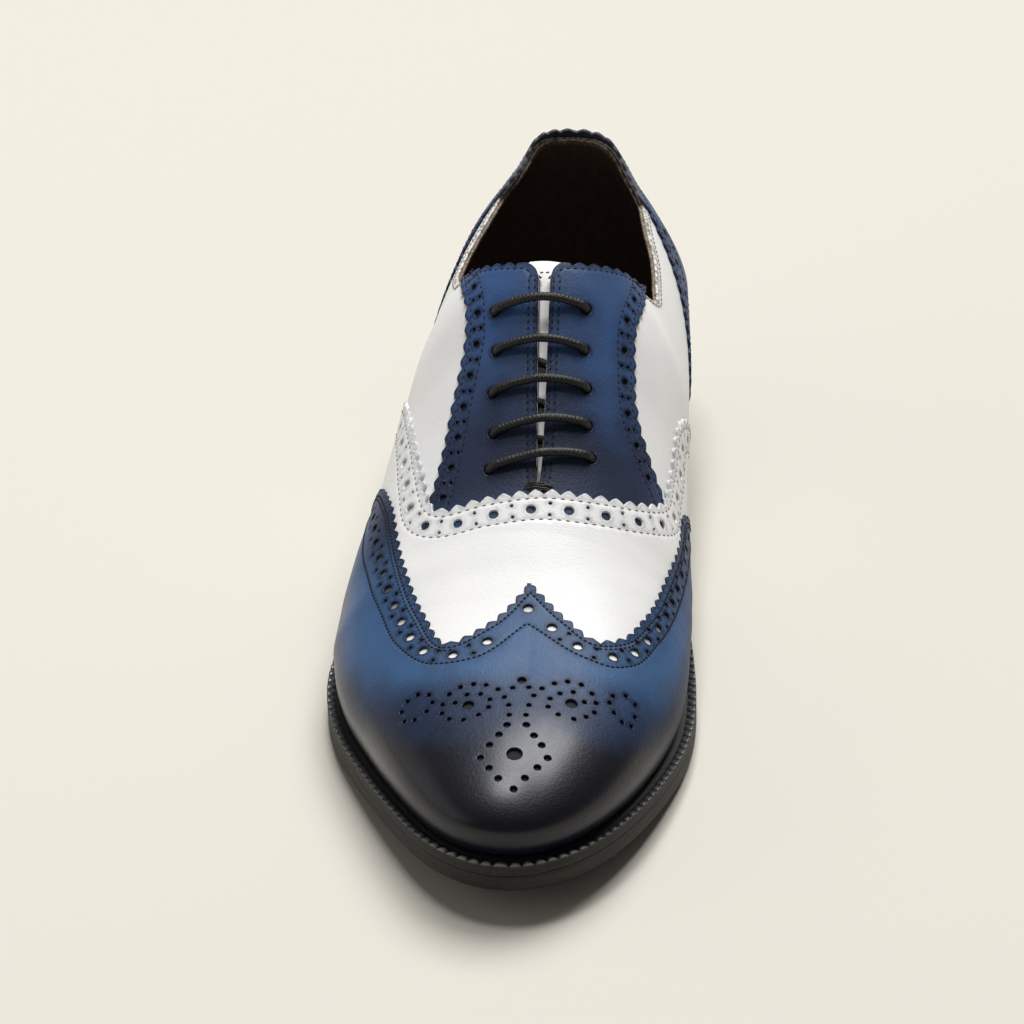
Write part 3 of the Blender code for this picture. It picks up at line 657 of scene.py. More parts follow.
class Panel:
    """A leather overlay: a flat outline on a chart, with holes, thickness and stitched lines."""

    def __init__(self, name, chart, outline, under=None):
        self.name = name
        self.chart = chart
        self.under = under
        self.cell = 0.0013
        flat = chart.draw(outline)
        area = (flat[:, 0] * np.roll(flat[:, 1], -1) - np.roll(flat[:, 0], -1) * flat[:, 1]).sum()
        self.outline = outline if area > 0 else outline[::-1]
        self.outline_flat = flat if area > 0 else flat[::-1]
        self.holes = []
        self.seams = []
        self.seam_tree = None
        self.more_marks = {}

    def punch(self, centres, radius, count=14):
        edge = min(radius * 0.3, 0.0003)
        for centre in centres:
            self.holes.append((ring_at(centre, radius + edge, count)[::-1],
                               ring_at(centre, radius, count)[::-1]))

    def sew(self, lines):
        self.seams = lines
        self.seam_tree = tree_of(np.concatenate([self.chart.draw(respace(line, 0.0004)) for line in lines]))

    def base(self, flat):
        """Height of the sheet's underside over the last."""
        return self.under(flat) if self.under else np.full(len(flat), CLEAR / 2)

    def height(self, flat):
        """Height of the sheet's upper face over the last: the thread pulls it in a little."""
        gap = distance_to(self.seam_tree, flat)
        return self.base(flat) + OVERLAY - SEAM_DEPTH * np.exp(-(gap / SEAM_WIDTH) ** 2)

    def lift(self, flat):
        """Points on the sheet's upper face and their normals."""
        points, normals = self.chart.place(flat)
        around = []
        for shift in AROUND * LIFT_STEP:
            spot = surface_at(self.chart.back(flat + shift))
            around.append(spot + creases(spot, normals) + normals * self.height(flat + shift)[:, None])
        points = points + creases(points, normals) + normals * self.height(flat)[:, None]
        return points, square_to(*around)

    def fill(self, flats, rims):
        """Flat spots inside the outline: an even grid, with denser rows along the seams."""
        cell = self.cell
        low = flats[0].min(0)
        high = flats[0].max(0)
        xs = np.arange(low[0], high[0] + cell, cell)
        ys = np.arange(low[1], high[1] + cell, cell * 0.866)
        spots = np.concatenate([np.column_stack([xs + (k % 2) * cell / 2, np.full(len(xs), y)])
                                for k, y in enumerate(ys)])
        rows = []
        for line in self.seams:
            line = respace(line, SEAM_STEP)
            rows += [self.chart.draw(beside(line, shift) if shift else line) for shift in SEAM_SHIFTS]
        spots = spots[distance_to(self.seam_tree, spots) > cell * 0.75]
        spots = np.concatenate(rows + [spots])
        spots = spots[inside(spots, flats[0])]
        spots = spots[distance_to(rims, spots) > RIM_ROOM]
        for flat in flats[1:]:
            near = np.flatnonzero(np.abs(spots - flat.mean(0)).max(1) < 0.006)
            spots = np.delete(spots, near[inside(spots[near], flat)], axis=0)
        return spots

    def triangles(self, flats, spots):
        """Triangles between the rings and the spots, and the new number of each old spot."""
        edges = []
        first = 0
        for flat in flats:
            count = len(flat)
            edges += [(first + i, first + (i + 1) % count) for i in range(count)]
            first += count
        verts, _, faces, origin, _, _ = delaunay_2d_cdt(
            [Vector(spot) for spot in np.concatenate(flats + [spots]).tolist()], edges, [], 0, 1e-8, True)
        where = {old: new for new, olds in enumerate(origin) for old in olds}
        flat = np.array([(v[0], v[1]) for v in verts])
        faces = np.array([list(face) for face in faces if len(face) == 3])
        faces = faces[inside(flat[faces].mean(1), flats[0])]
        middle = flat[faces].mean(1)
        punched = np.zeros(len(faces), dtype=bool)
        for ring in flats[1:]:
            near = np.flatnonzero(np.abs(middle - ring.mean(0)).max(1) < 0.004)
            punched[near] |= inside(middle[near], ring)
        return flat, faces[~punched], where

    def edge_rings(self, inner, edge, spots, closed):
        """Three rings that turn a cut edge down, each with the way it faces."""
        flat = self.chart.draw(edge)
        foot, normal = self.chart.place(flat)
        foot = foot + creases(foot, normal)
        top = self.height(flat)
        away = foot - laid(inner)
        away = unit(away - normal * (away * normal).sum(1)[:, None])
        bevel = min(ROUND_EDGE, OVERLAY * 0.45)
        low = np.minimum(self.base(flat) - 0.00025 * (not closed), top - bevel * 1.5)
        full = foot + normal * top[:, None]
        return [(spots * 0.35 + full * 0.65 - normal * bevel * 0.22, unit(normal * 0.8 + away * 0.6)),
                (foot + normal * (top - bevel)[:, None], unit(normal * 0.25 + away)),
                (foot + normal * low[:, None], unit(away))]

    def build(self, materials, node, closed=False):
        inward = sideways(self.outline, closed=True)
        loops = [(laid(self.outline + inward * ROUND_EDGE), self.outline)] + self.holes
        flats = [self.chart.draw(inner) for inner, edge in loops]
        rims = tree_of(np.concatenate(flats))
        flat, triangles, where = self.triangles(flats, self.fill(flats, rims))
        points, normals = self.lift(flat)
        rim = distance_to(rims, flat)
        all_points = [points]
        all_normals = [normals]
        all_rims = [rim]
        faces = triangles.tolist()
        count = len(points)
        under_first = count + 3 * sum(len(ring) for ring in flats)
        first = 0
        for inner, edge in loops:
            size = len(edge)
            start = np.array([where[first + i] for i in range(size)])
            first += size
            before = start
            for place, facing in self.edge_rings(inner, edge, points[start], closed):
                here = np.arange(count, count + size)
                count += size
                all_points.append(place)
                all_normals.append(facing)
                all_rims.append(np.zeros(size))
                faces += zip(np.roll(before, -1), before, here, np.roll(here, -1))
                before = here
            if closed:
                below = start + under_first
                faces += zip(np.roll(before, -1), before, below, np.roll(below, -1))
        if closed:
            below, normals = self.chart.place(flat)
            all_points.append(below + normals * self.base(flat)[:, None])
            all_normals.append(-normals)
            all_rims.append(rim)
            faces += (triangles[:, ::-1] + under_first).tolist()
        marks = {"rim": np.concatenate(all_rims) / MM}
        for mark, measured in self.more_marks.items():
            marks[mark] = measured(np.concatenate(all_points))
        obj = new_object(self.name, np.concatenate(all_points), faces, materials,
                         normals=np.concatenate(all_normals), marks=marks)
        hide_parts(*node)
        print(self.name, "has", len(faces), "faces")


# %% [markdown]
# Finishes are built from nodes. To keep the maths readable, a small class wraps a node's output so
# that it can be used in ordinary expressions, and one method adds every node. Numbers that vary
# over a surface drive only colour, roughness, coat weight and bump.

# %% Node helpers
class Wire:
    """A value that varies over a surface: arithmetic on it adds Math nodes."""

    def __init__(self, paint, socket):
        self.paint = paint
        self.socket = socket

    def math(self, operation, one, other):
        return self.paint.add("ShaderNodeMath", {"operation": operation}, {0: one, 1: other})

    def __add__(self, other):
        return self.math("ADD", self, other)

    def __radd__(self, other):
        return self.math("ADD", other, self)

    def __sub__(self, other):
        return self.math("SUBTRACT", self, other)

    def __rsub__(self, other):
        return self.math("SUBTRACT", other, self)

    def __mul__(self, other):
        return self.math("MULTIPLY", self, other)

    def __rmul__(self, other):
        return self.math("MULTIPLY", other, self)

    def __truediv__(self, other):
        return self.math("DIVIDE", self, other)

    def __rtruediv__(self, other):
        return self.math("DIVIDE", other, self)

    def __pow__(self, other):
        return self.math("POWER", self, other)

    def __rpow__(self, other):
        return self.math("POWER", other, self)

    def ease(self, low, high):
        """0 below low, 1 above high, and a soft slope between."""
        return self.paint.add("ShaderNodeMapRange", {"interpolation_type": "SMOOTHSTEP"},
                              {"Value": self, "From Min": low, "From Max": high})


class Paint:
    """A material under construction."""

    def __init__(self, name):
        self.material = bpy.data.materials.new(name)
        self.material.use_nodes = True
        self.tree = self.material.node_tree
        self.surface = self.tree.nodes["Principled BSDF"]
        self.place = self.add("ShaderNodeTexCoord", {}, {}, "Object")

    def link(self, value, socket):
        if isinstance(value, Wire):
            self.tree.links.new(value.socket, socket)
        elif isinstance(value, tuple) and socket.type == "RGBA":
            socket.default_value = (*value, 1.0)
        else:
            socket.default_value = value

    def add(self, kind, settings, inputs, out=0):
        """Adds a node: its type, its settings, then a value or a wire for each named input."""
        node = self.tree.nodes.new(kind)
        for key, value in settings.items():
            setattr(node, key, value)
        for key, value in inputs.items():
            self.link(value, node.inputs[key])
        return Wire(self, node.outputs[out])

    def stretched(self, scale):
        return self.add("ShaderNodeVectorMath", {"operation": "MULTIPLY"}, {0: self.place, 1: scale})

    def noise(self, scale, detail=4.0, roughness=0.55, at=None):
        return self.add("ShaderNodeTexNoise", {}, {"Vector": at or self.place, "Scale": scale,
                                                   "Detail": detail, "Roughness": roughness})

    def cells(self, scale):
        return self.add("ShaderNodeTexVoronoi", {}, {"Vector": self.place, "Scale": scale})

    def axis(self, k):
        return self.add("ShaderNodeSeparateXYZ", {}, {0: self.place}, k)

    def mark(self, name):
        """A number stored on the mesh, such as the distance to a piece's edge in millimetres."""
        return self.add("ShaderNodeAttribute", {"attribute_name": name}, {}, "Fac")

    def mix(self, share, one, other):
        return self.add("ShaderNodeMix", {"data_type": "RGBA"}, {0: share, 6: one, 7: other}, 2)

    def bump(self, height, distance, strength=1.0):
        return self.add("ShaderNodeBump", {}, {"Strength": strength, "Distance": distance, "Height": height})

    def finish(self, colour, roughness, normal=None, **constants):
        self.link(colour, self.surface.inputs["Base Color"])
        self.link(roughness, self.surface.inputs["Roughness"])
        if normal is not None:
            self.link(normal, self.surface.inputs["Normal"])
        for key, value in constants.items():
            self.link(value, self.surface.inputs[key.replace("_", " ")])
        return self.material


# %% [markdown]
# The white leather is smooth calf with a tight grain, almost matt. Handling leaves faint grey in its
# grain and specks of dirt along its raw edges, and a smooth grey fringe along every edge and round
# every hole is painted shade. The mesh stores the distance to the nearest edge, and the places that
# lie under other leather, which are painted nearly black: the shade seen through the holes above
# them, and under the wing cap's toe the dark lining as well.

# %% White leather
CHALK = (0.845, 0.845, 0.845)
COOL_WHITE = (0.775, 0.78, 0.79)
IVORY = (0.70, 0.69, 0.66)
# Grey of the painted shade along the edges and round the holes
EDGE_SHADE_GREY = (0.50, 0.51, 0.53)
SMEAR = (0.22, 0.24, 0.28)
# Painted shade: near black for leather that lies under other pieces, as seen through their holes
UNDERLAY_SHADE = (0.010, 0.011, 0.015)


def white_leather():
    p = Paint("white_leather")
    pores = p.cells(2100.0)
    grain = p.noise(700.0, 5.0)
    cloud = p.noise(26.0, 3.0)
    colour = p.mix(cloud.ease(0.35, 0.72), CHALK, COOL_WHITE)
    low = p.axis(2).ease(0.075, 0.028)
    colour = p.mix(low * 0.45, colour, IVORY)
    rim = p.mark("rim")
    smear = p.noise(420.0, 6.0, 0.7)
    dirt = (1 - rim.ease(0.0, 1.5)) * smear.ease(0.36, 0.60)
    # Painted shade: a smooth grey fringe within a few millimetres of every edge and hole
    edge_shade_haze = (1 - rim.ease(0.4, 4.0)) * 0.14
    colour = p.mix(edge_shade_haze, colour, EDGE_SHADE_GREY)
    colour = p.mix(dirt * 0.52, colour, SMEAR)
    # Painted shade: leather under other pieces turns nearly black and dull, the shade inside the holes, and
    # under the toe also the dark lining
    shaded_underlay = p.mark("shaded_underlay")
    colour = p.mix(shaded_underlay, colour, UNDERLAY_SHADE)
    normal = p.bump(pores * 0.5 + grain * 0.6, 0.00010, 0.7)
    gloss = 0.42 + grain * 0.14 + shaded_underlay * 0.42
    return p.finish(colour, gloss, normal, Coat_Weight=0.06 - shaded_underlay * 0.06, Coat_Roughness=0.35)


# %% [markdown]
# The blue parts are dyed by hand over a pale crust. Thin dye gives steel blue on the crown of the
# wing cap, heavier dye cobalt and navy on the facings and the counter, and a burnish of dark wax
# nearly blackens the toe and the edges.

# %% Blue leather
NAVY = (0.038, 0.073, 0.165)
COBALT = (0.045, 0.108, 0.270)
STEEL = (0.042, 0.102, 0.212)
DUSK = (0.016, 0.026, 0.062)
BURNISH = (0.0032, 0.0037, 0.0085)
PLUM = (0.014, 0.0145, 0.025)
SLATE = (0.075, 0.078, 0.088)
CLEAR_BLUE = (0.036, 0.092, 0.265)
EDGE_DYE = (0.008, 0.014, 0.038)
SCUFF = (0.10, 0.14, 0.21)


def blue_leather():
    p = Paint("blue_leather")
    pores = p.cells(1150.0)
    grain = p.noise(520.0, 5.0)
    wash = p.noise(55.0, 5.0, 0.62)
    cloud = p.noise(24.0, 2.0)
    x = p.axis(0)
    y = p.axis(1)
    z = p.axis(2)
    # The dye lies in clouds, and darker at the throat, where the facings end
    colour = p.mix(cloud.ease(0.40, 0.66), NAVY, COBALT)
    colour = p.mix(wash.ease(0.46, 0.66) * 0.55, colour, CLEAR_BLUE)
    throat = (1 - (y + wash * 0.030).ease(0.006, 0.034)) * y.ease(-0.050, -0.034) * z.ease(0.038, 0.047)
    colour = p.mix(throat * 0.80, colour, PLUM)
    # It is thin on the crown of the wing cap and burnished toward the toe and the welt
    crown = (1 - y.ease(-0.040, -0.020)) * z.ease(0.022, 0.038)
    colour = p.mix(crown * (0.50 + wash * 0.6), colour, STEEL)
    front = y + (z - 0.040) * 1.2 + wash * 0.026 - 0.013
    colour = p.mix((1 - front.ease(-0.106, -0.080)) * 0.8, colour, DUSK)
    toe = 1 - front.ease(-0.128, -0.097)
    colour = p.mix(toe, colour, BURNISH)
    low = (1 - z.ease(0.021, 0.034)) * (1 - y.ease(0.0, 0.06)) * 0.75
    colour = p.mix(low, colour, BURNISH)
    # Edges are inked dark, the strip over the topline is greyed, and corners are scuffed pale
    rim = p.mark("rim")
    edge = (1 - rim.ease(0.0, 1.3)) * 0.6 + (1 - rim.ease(0.5, 7.0)) * 0.25
    colour = p.mix(edge, colour, EDGE_DYE)
    colour = p.mix(p.mark("strip") * 0.8, colour, SLATE)
    speck = p.noise(900.0, 3.0).ease(0.56, 0.70) * (1 - rim.ease(0.2, 1.4))
    colour = p.mix(speck * 0.45, colour, SCUFF)
    # Wax shines on the toe and on the outer flank
    normal = p.bump(pores * 0.5 + grain * 0.6, 0.00015, 0.85)
    gloss = 0.42 + grain * 0.16 - toe * 0.04
    flank = (1 - z.ease(0.022, 0.042)) * (1 - x.ease(-0.034, -0.018)) * (1 - y.ease(0.0, 0.05))
    wax = 0.03 + toe * 0.42 + flank * 0.5
    return p.finish(colour, gloss, normal, Specular_IOR_Level=0.17, Coat_Weight=wax,
                    Coat_Roughness=0.27)


# %% [markdown]
# The other finishes are simpler: a colour that noise darkens a little, and a fine bump. The welt is
# black waxed leather whose ribs are grey, partly rubbed wax and partly painted sheen, with a painted
# light-grey glint on them at the toe. The sole's edge is nearly black leather with streaks from the
# trimming knife. The lace is cotton with a braid round it.

# %% Other finishes
def plain(name, colour, roughness, scale, depth=0.0001):
    p = Paint(name)
    grain = p.noise(scale, 5.0)
    tone = p.mix(grain.ease(0.3, 0.7), colour, tuple(part * 0.7 for part in colour))
    return p.finish(tone, roughness, p.bump(grain, depth, 0.8))


def sole_edge():
    p = Paint("sole_edge")
    streak = p.noise(60.0, 6.0, 0.65, p.stretched((1.0, 1.0, 26.0)))
    fleck = p.noise(900.0, 4.0)
    tone = p.mix(streak.ease(0.34, 0.66), (0.008, 0.006, 0.005), (0.026, 0.021, 0.017))
    tone = p.mix(fleck.ease(0.55, 0.7) * 0.4, tone, (0.062, 0.050, 0.040))
    normal = p.bump(streak + fleck * 0.3, 0.00016, 0.8)
    return p.finish(tone, 0.52 + fleck * 0.2, normal, Specular_IOR_Level=0.35)


def rubbed_edge(name, scale, low, one, other, roughness):
    """A cut or folded edge of leather whose finish is rubbed through in specks."""
    p = Paint(name)
    wear = p.noise(scale, 5.0, 0.7)
    tone = p.mix(wear.ease(low, 0.60), one, other)
    return p.finish(tone, roughness, p.bump(wear, 0.00012, 0.8))


BRAID_WAVE = 5.2
BRAID_TURN = 6.2832


def lace_cotton():
    """Black cotton: two sets of strands that wind round the cord in opposite ways."""
    p = Paint("lace_cotton")
    run = p.mark("run")
    turn = p.mark("turn")
    strands = [p.add("ShaderNodeMath", {"operation": "SINE"}, {0: run * BRAID_WAVE + turn * twist})
               for twist in (BRAID_TURN, -BRAID_TURN)]
    braid = strands[0] * 0.25 + strands[1] * 0.25 + 0.5
    fuzz = p.noise(2600.0, 3.0)
    tone = p.mix(braid * 0.6 + fuzz * 0.3, (0.0025, 0.0025, 0.0025), (0.0095, 0.009, 0.0088))
    knots = p.noise(900.0, 3.0)
    return p.finish(tone, 0.40 + fuzz * 0.25, p.bump(braid * 0.5 + fuzz * 0.5 + knots * 0.8, 0.00024, 0.9))


def welt_wax():
    """Black wax over leather, grey on the lumps of the rim from rubbing and painted sheen, with a painted
    glint at the toe.
    """
    p = Paint("welt_wax")
    grain = p.noise(1400.0, 5.0)
    # Grey on the lumps: partly rubbed wax, partly painted sheen
    lump_wear_and_sheen = p.mark("lump") * (0.35 + p.noise(240.0, 3.0) * 0.9)
    tone = p.mix(lump_wear_and_sheen, (0.006, 0.0055, 0.0055), (0.040, 0.040, 0.042))
    # Painted glint: the lumps at the toe are painted light grey where they would catch the light
    rubbed = lump_wear_and_sheen * (1 - p.axis(1).ease(-0.146, -0.132))
    tone = p.mix(rubbed, tone, (0.26, 0.26, 0.265))
    return p.finish(tone, 0.48 + grain * 0.1, p.bump(grain, 0.00025, 0.9), Coat_Weight=lump_wear_and_sheen * 0.9,
                    Coat_Roughness=0.16)


def paper_floor():
    p = Paint("paper_floor")
    return p.finish((0.660, 0.634, 0.570), 0.95, Specular_IOR_Level=0.1)


WHITE = white_leather()
BLUE = blue_leather()
WHITE_EDGE = rubbed_edge("white_edge", 700.0, 0.46, IVORY, (0.20, 0.15, 0.11), 0.5)
LINING = plain("lining_leather", (0.115, 0.078, 0.060), 0.7, 300.0, 0.0002)
TAN = rubbed_edge("tan_fold", 800.0, 0.42, (0.085, 0.055, 0.036), (0.28, 0.22, 0.165), 0.6)
THREAD_DARK = plain("dark_thread", (0.0018, 0.0030, 0.0095), 0.85, 1500.0)
# White thread painted grey: the shade in its sunken seam
WHITE_THREAD_SHADED = plain("white_thread_painted_grey", (0.25, 0.25, 0.255), 0.6, 1500.0)
THREAD_TAN = plain("tan_thread", (0.30, 0.23, 0.16), 0.6, 1500.0)
CORD = lace_cotton()
WELT_BLACK = welt_wax()
SOLE = sole_edge()
RUBBER = plain("heel_rubber", (0.010, 0.010, 0.010), 0.6, 900.0)
print("Materials:", len(bpy.data.materials))

# %% [markdown]
# The patterns of a brogue come next. Each edge is a smooth line through a few spots taken from the
# shoe: some were read from above, some from the side. The wing cap's edge has two lobes and a peak,
# the vamp's runs round the throat and back along the waist, and the facings stand over the instep.

# %% Edge lines of the pieces
def line_of(points):
    return laid(smooth_line(points))


LOW_REACH = 0.985


def above_feather(line):
    """The part of a line above the feather line."""
    return line[np.abs(on_last(line)[:, 1]) < LOW_REACH]


def feather_line(start_along, end_along, side):
    """The bottom edge of a piece, just above the feather line of one side."""
    station = np.linspace(station_at(start_along), station_at(end_along), 220)
    return surface(station, np.full_like(station, side * LOW_REACH))


def joined_lines(one, other):
    """Two lines that meet at a corner, each cut where it comes nearest to the other."""
    gap = np.linalg.norm(one[:, None] - other[None], axis=2)
    i, j = np.unravel_index(np.argmin(gap), gap.shape)
    return np.concatenate([one[:i + 1], other[j:]])


wing_lateral = above_feather(line_of(from_side([(32, 8), (30, 11), (24, 20), (14, 30), (7.9, 35)], -1) + [
    (-47.2, 4.4, 41), (-41.9, -11.7, 48), (-34.2, -40.7, 46), (-25.1, -64.6, 43.5),
    (-16.6, -77.9, 43), (-5.5, -71.3, 45.8), (5.3, -55.6, 50.2)]))
wing_medial = above_feather(line_of([
    (5.3, -55.6, 50.2), (18.3, -68.6, 45.9), (26.0, -73.6, 43.2), (32.5, -70.0, 41.5),
    (38.2, -57.5, 40.1), (43.4, -28.4, 38.9), (44.8, -9.5, 38), (45.2, 3.8, 37)]
    + from_side([(9, 33), (15, 27), (24, 19), (30, 11), (32, 8)], 1)))
wing_edge = np.concatenate([wing_lateral, wing_medial[1:]])
wing_inner = np.concatenate([
    line_of([(-50.3, 12.0, 30), (-49.0, -14.0, 36), (-46.5, -30.0, 37), (-38.8, -58.2, 39),
             (-31.9, -74.8, 39.5), (-20.8, -85.7, 41), (-8.2, -85.4, 43), (6.0, -71.4, 46.6)]),
    line_of([(6.0, -71.4, 46.6), (23.7, -82, 43), (31.5, -82.5, 40.5), (37.2, -78.4, 38.5),
             (43, -63.4, 36), (47.0, -40, 33), (49.0, -14.0, 31), (49.0, 8.0, 26)])[1:]])
vamp_edge = above_feather(line_of(from_side([(56, 10), (56, 20), (53.5, 30), (49, 39), (43, 47)], -1) + [
    (-42.0, 33.6, 55), (-37.8, 10.9, 60), (-32.8, -9.5, 58.4), (-25.8, -26.2, 56.0), (-11.8, -26.8, 61.2),
    (4.4, -25.3, 63.8), (21, -22.9, 60.8), (32.6, -17.4, 55), (38.6, -8, 48.6), (41.6, 10.2, 49),
    (42.2, 33.6, 52)] + from_side([(43, 47), (49, 39), (53.5, 30), (56, 20), (56, 10)], 1)))
print("Edge lines:", len(wing_edge), "and", len(vamp_edge), "points")


# %% [markdown]
# Stitches are small capsules of thread that rise out of the leather and sink back into it. They are
# placed along a line at even steps, and all the stitches of one piece are joined into one mesh.

# %% Stitches
def tube_faces(rings, sides, flip=False):
    """Faces between the rings of a tube; flip is for rings that turn the other way."""
    faces = []
    for i in range(rings - 1):
        for j in range(sides):
            a = i * sides
            m = (j + 1) % sides
            face = (a + j, a + m, a + sides + m, a + sides + j)
            faces.append((face[0], *face[:0:-1]) if flip else face)
    return faces


THREAD_SIDES = 6
THREAD_FLAT = 0.75


def capsules(centres, normals, ahead, radius):
    """Short bars of thread. centres is stitches by rings by three; the end rings are narrow."""
    count, rings, sides = *centres.shape[:2], THREAD_SIDES
    across = unit(np.cross(normals, ahead))
    waist = np.sin(np.linspace(0.12, 0.88, rings) * math.pi) ** 0.6 * radius
    turn = np.linspace(0, 2 * math.pi, sides, endpoint=False)
    points = (centres[:, :, None] + across[:, :, None] * (np.cos(turn) * waist[:, None])[None, :, :, None]
              + normals[:, :, None] * (np.sin(turn) * THREAD_FLAT * waist[:, None])[None, :, :, None])
    size = rings * sides
    one = tube_faces(rings, sides) + [tuple(range(sides))[::-1], tuple(range(size - sides, size))]
    faces = [tuple(i + k * size for i in face) for k in range(count) for face in one]
    return points.reshape(-1, 3), faces


STITCH_STEPS = np.linspace(-0.5, 0.5, 5)
STITCH_ARCH = np.array([-1.6, 0.5, 1.0, 0.5, -1.6]) * 0.00012


def arched(points, normals, radius):
    """Stitches through points on the leather, five to a stitch, bowed up in the middle."""
    count = len(points) // len(STITCH_STEPS)
    points = points + normals * np.tile(STITCH_ARCH, count)[:, None]
    points = points.reshape(count, -1, 3)
    return capsules(points, normals.reshape(count, -1, 3), np.gradient(points, axis=1), radius)


def stitched(panel, line, pitch, length, radius):
    """Points and faces of the stitches along a line of a panel, as far as they lie on it."""
    reach = measure(line)[-1]
    count = int(reach / pitch)
    middles = (np.arange(count) + 0.5) * reach / count
    spots = panel.chart.draw(at_runs(line, (middles[:, None] + STITCH_STEPS * length).ravel()))
    held = inside(spots, panel.outline_flat).reshape(count, -1).all(axis=1)
    spots = spots[np.repeat(held, len(STITCH_STEPS))]
    return arched(*panel.lift(spots), radius)


def thread_row(line, away, pitch, radius):
    """Stitches along a line in space, given the direction out of the leather at its points."""
    count = int(measure(line)[-1] / pitch)
    at = ((np.arange(count) + 0.5)[:, None] * pitch + STITCH_STEPS * pitch * 0.72).ravel()
    return arched(at_runs(line, at), unit(read_along(line, away, at)), radius)


def make_stitches(name, panel, groups, material):
    """One mesh for all stitches of a panel: groups give lines, pitch, length and radius."""
    points, faces = merged([stitched(panel, line, pitch, length, radius)
                            for lines, pitch, length, radius in groups for line in lines])
    obj = new_object(name, points, faces, [material])
    print(name, "has", len(faces), "faces")


# %% [markdown]
# A brogue's band is a row of large holes with a pair of small ones between each two. The punch makes
# them in one stroke, so the pairs stand square to the line and keep the same distance all the way.

# %% Punched bands
def spots_beside(line, places, shift):
    """Places along a line, moved sideways by a distance."""
    return laid(at_runs(line, places) + read_along(line, sideways(line), places) * shift)


def middles_of(places):
    return (places[:-1] + places[1:]) / 2


def punched_band(panel, line, places, middles, big, small, shift):
    """Large holes at some places along a line, and a pair of small ones beside each middle."""
    panel.punch(at_runs(line, places), big, 16)
    for aside in (-shift, shift):
        panel.punch(spots_beside(line, middles, aside), small, 10)


# %% [markdown]
# The wing cap covers the toe. Its gimped edge carries a row of thread just inside the teeth and a
# second row below a band of punched holes. It lies over the vamp for the width of a seam, so its
# sheet stands higher there than on the upper further down.

# %% The wing cap
WING_TEETH = (4.3 * MM, 1.5 * MM)
wing_top = np.concatenate([gimped(wing_lateral, *WING_TEETH)[:-1], gimped(wing_medial, *WING_TEETH)])
wing_outline = np.concatenate([
    wing_top, feather_line(along_of(wing_top[-1, 1]), 1.0, 1)[1:],
    feather_line(1.0, along_of(wing_top[0, 1]), -1)[1:-1]])
wing_edge_tree = tree_of(top_chart.draw(respace(wing_edge, 0.001)))


def wing_under(flat):
    """The wing cap lies over the vamp near its edge, and on the upper further down."""
    near = distance_to(wing_edge_tree, flat)
    return CLEAR + OVERLAY * (1 - smoothstep(0.012, 0.028, near))


def wing_row(inset):
    """A line that keeps one distance from the wing cap's edge."""
    return joined_lines(beside(wing_lateral, -inset), beside(wing_medial, -inset))


def middle_line(one, other):
    """A line that runs midway between two lines."""
    one = respace(one, 0.001)
    tree = tree_of(other)
    near = np.array([tree.find(tuple(point))[0] for point in one])
    return laid(one * 0.5 + near * 0.5)


wing = Panel("wing_cap_leather", top_chart, wing_outline, wing_under)
wing_seam = wing_row(2.3 * MM)
wing_seam_two = wing_row(3.5 * MM)
peak = int(np.argmin(np.abs(wing_seam_two[:, 0] - 5.4 * MM) + 10 * (wing_seam_two[:, 1] < -0.07)))
wing_seam_two = [wing_seam_two[:peak - 50], wing_seam_two[peak + 50:]]
wing.sew([wing_seam, wing_inner])

band = middle_line(wing_inner, wing_seam)
WING_PEAK = dropped([(5.7, -65.3)])
peak = int(np.argmin(np.linalg.norm(band - WING_PEAK, axis=1)))
WING_RUNS = {1: [0.0, 10.9, 21.0, 32.0], -1: [0.0, 12.4, 23.4, 33.8]}
for side, part in ((1, band[peak:]), (-1, band[peak::-1])):
    reach = measure(part)[-1]
    runs = WING_RUNS[side] + list(np.arange(WING_RUNS[side][-1] + 8.4, 120.0, 8.2))
    places = np.array([run * MM for run in runs if run * MM < reach - 0.003])
    punched_band(wing, part, places[1:], middles_of(places)[1:], 1.4 * MM, 0.6 * MM, 1.9 * MM)
wing.punch(WING_PEAK, 1.5 * MM, 16)

# %% [markdown]
# The ornament on the toe was read hole by hole, in plan. All places are in millimetres from the
# large hole of the diamond: the diamond round it, the stem above it, and a scroll to each side.

# %% Ornament on the toe
TOE_CENTRE = (7.9, -123.7)
DIAMOND = [(1.0, -11.9), (3.8, -8.0), (6.9, -3.9), (9.4, 0.0), (7.3, 4.2), (4.8, 7.4), (2.2, 11.2),
           (-3.3, 10.8), (-5.2, 7.0), (-7.5, 3.1), (-9.6, -1.4), (-6.7, -5.2), (-3.7, -8.7)]
STEM = [(-3.1, 14.8), (1.7, 15.1), (-3.7, 18.8), (2.1, 19.2), (-5.3, 22.1), (3.1, 23.3), (-3.3, 26.1),
        (1.3, 26.6), (-7.5, 25.3), (5.1, 26.6)]
SCROLL_LATERAL = [(-18.5, 26.7), (-14.8, 27.5), (-11.1, 27.1), (-16.3, 23.6), (-12.3, 23.5),
                  (-9.4, 21.2), (-9.4, 18.0), (-12.0, 15.1), (-16.2, 13.7), (-20.5, 14.8),
                  (-22.9, 17.6), (-23.1, 21.0), (-19.5, 20.9), (-21.5, 24.5), (-30.9, 26.9),
                  (-27.6, 25.7), (-26.3, 22.6), (-27.7, 19.8), (-30.9, 17.9), (-34.0, 18.9),
                  (-35.3, 22.8), (-33.9, 25.8)]
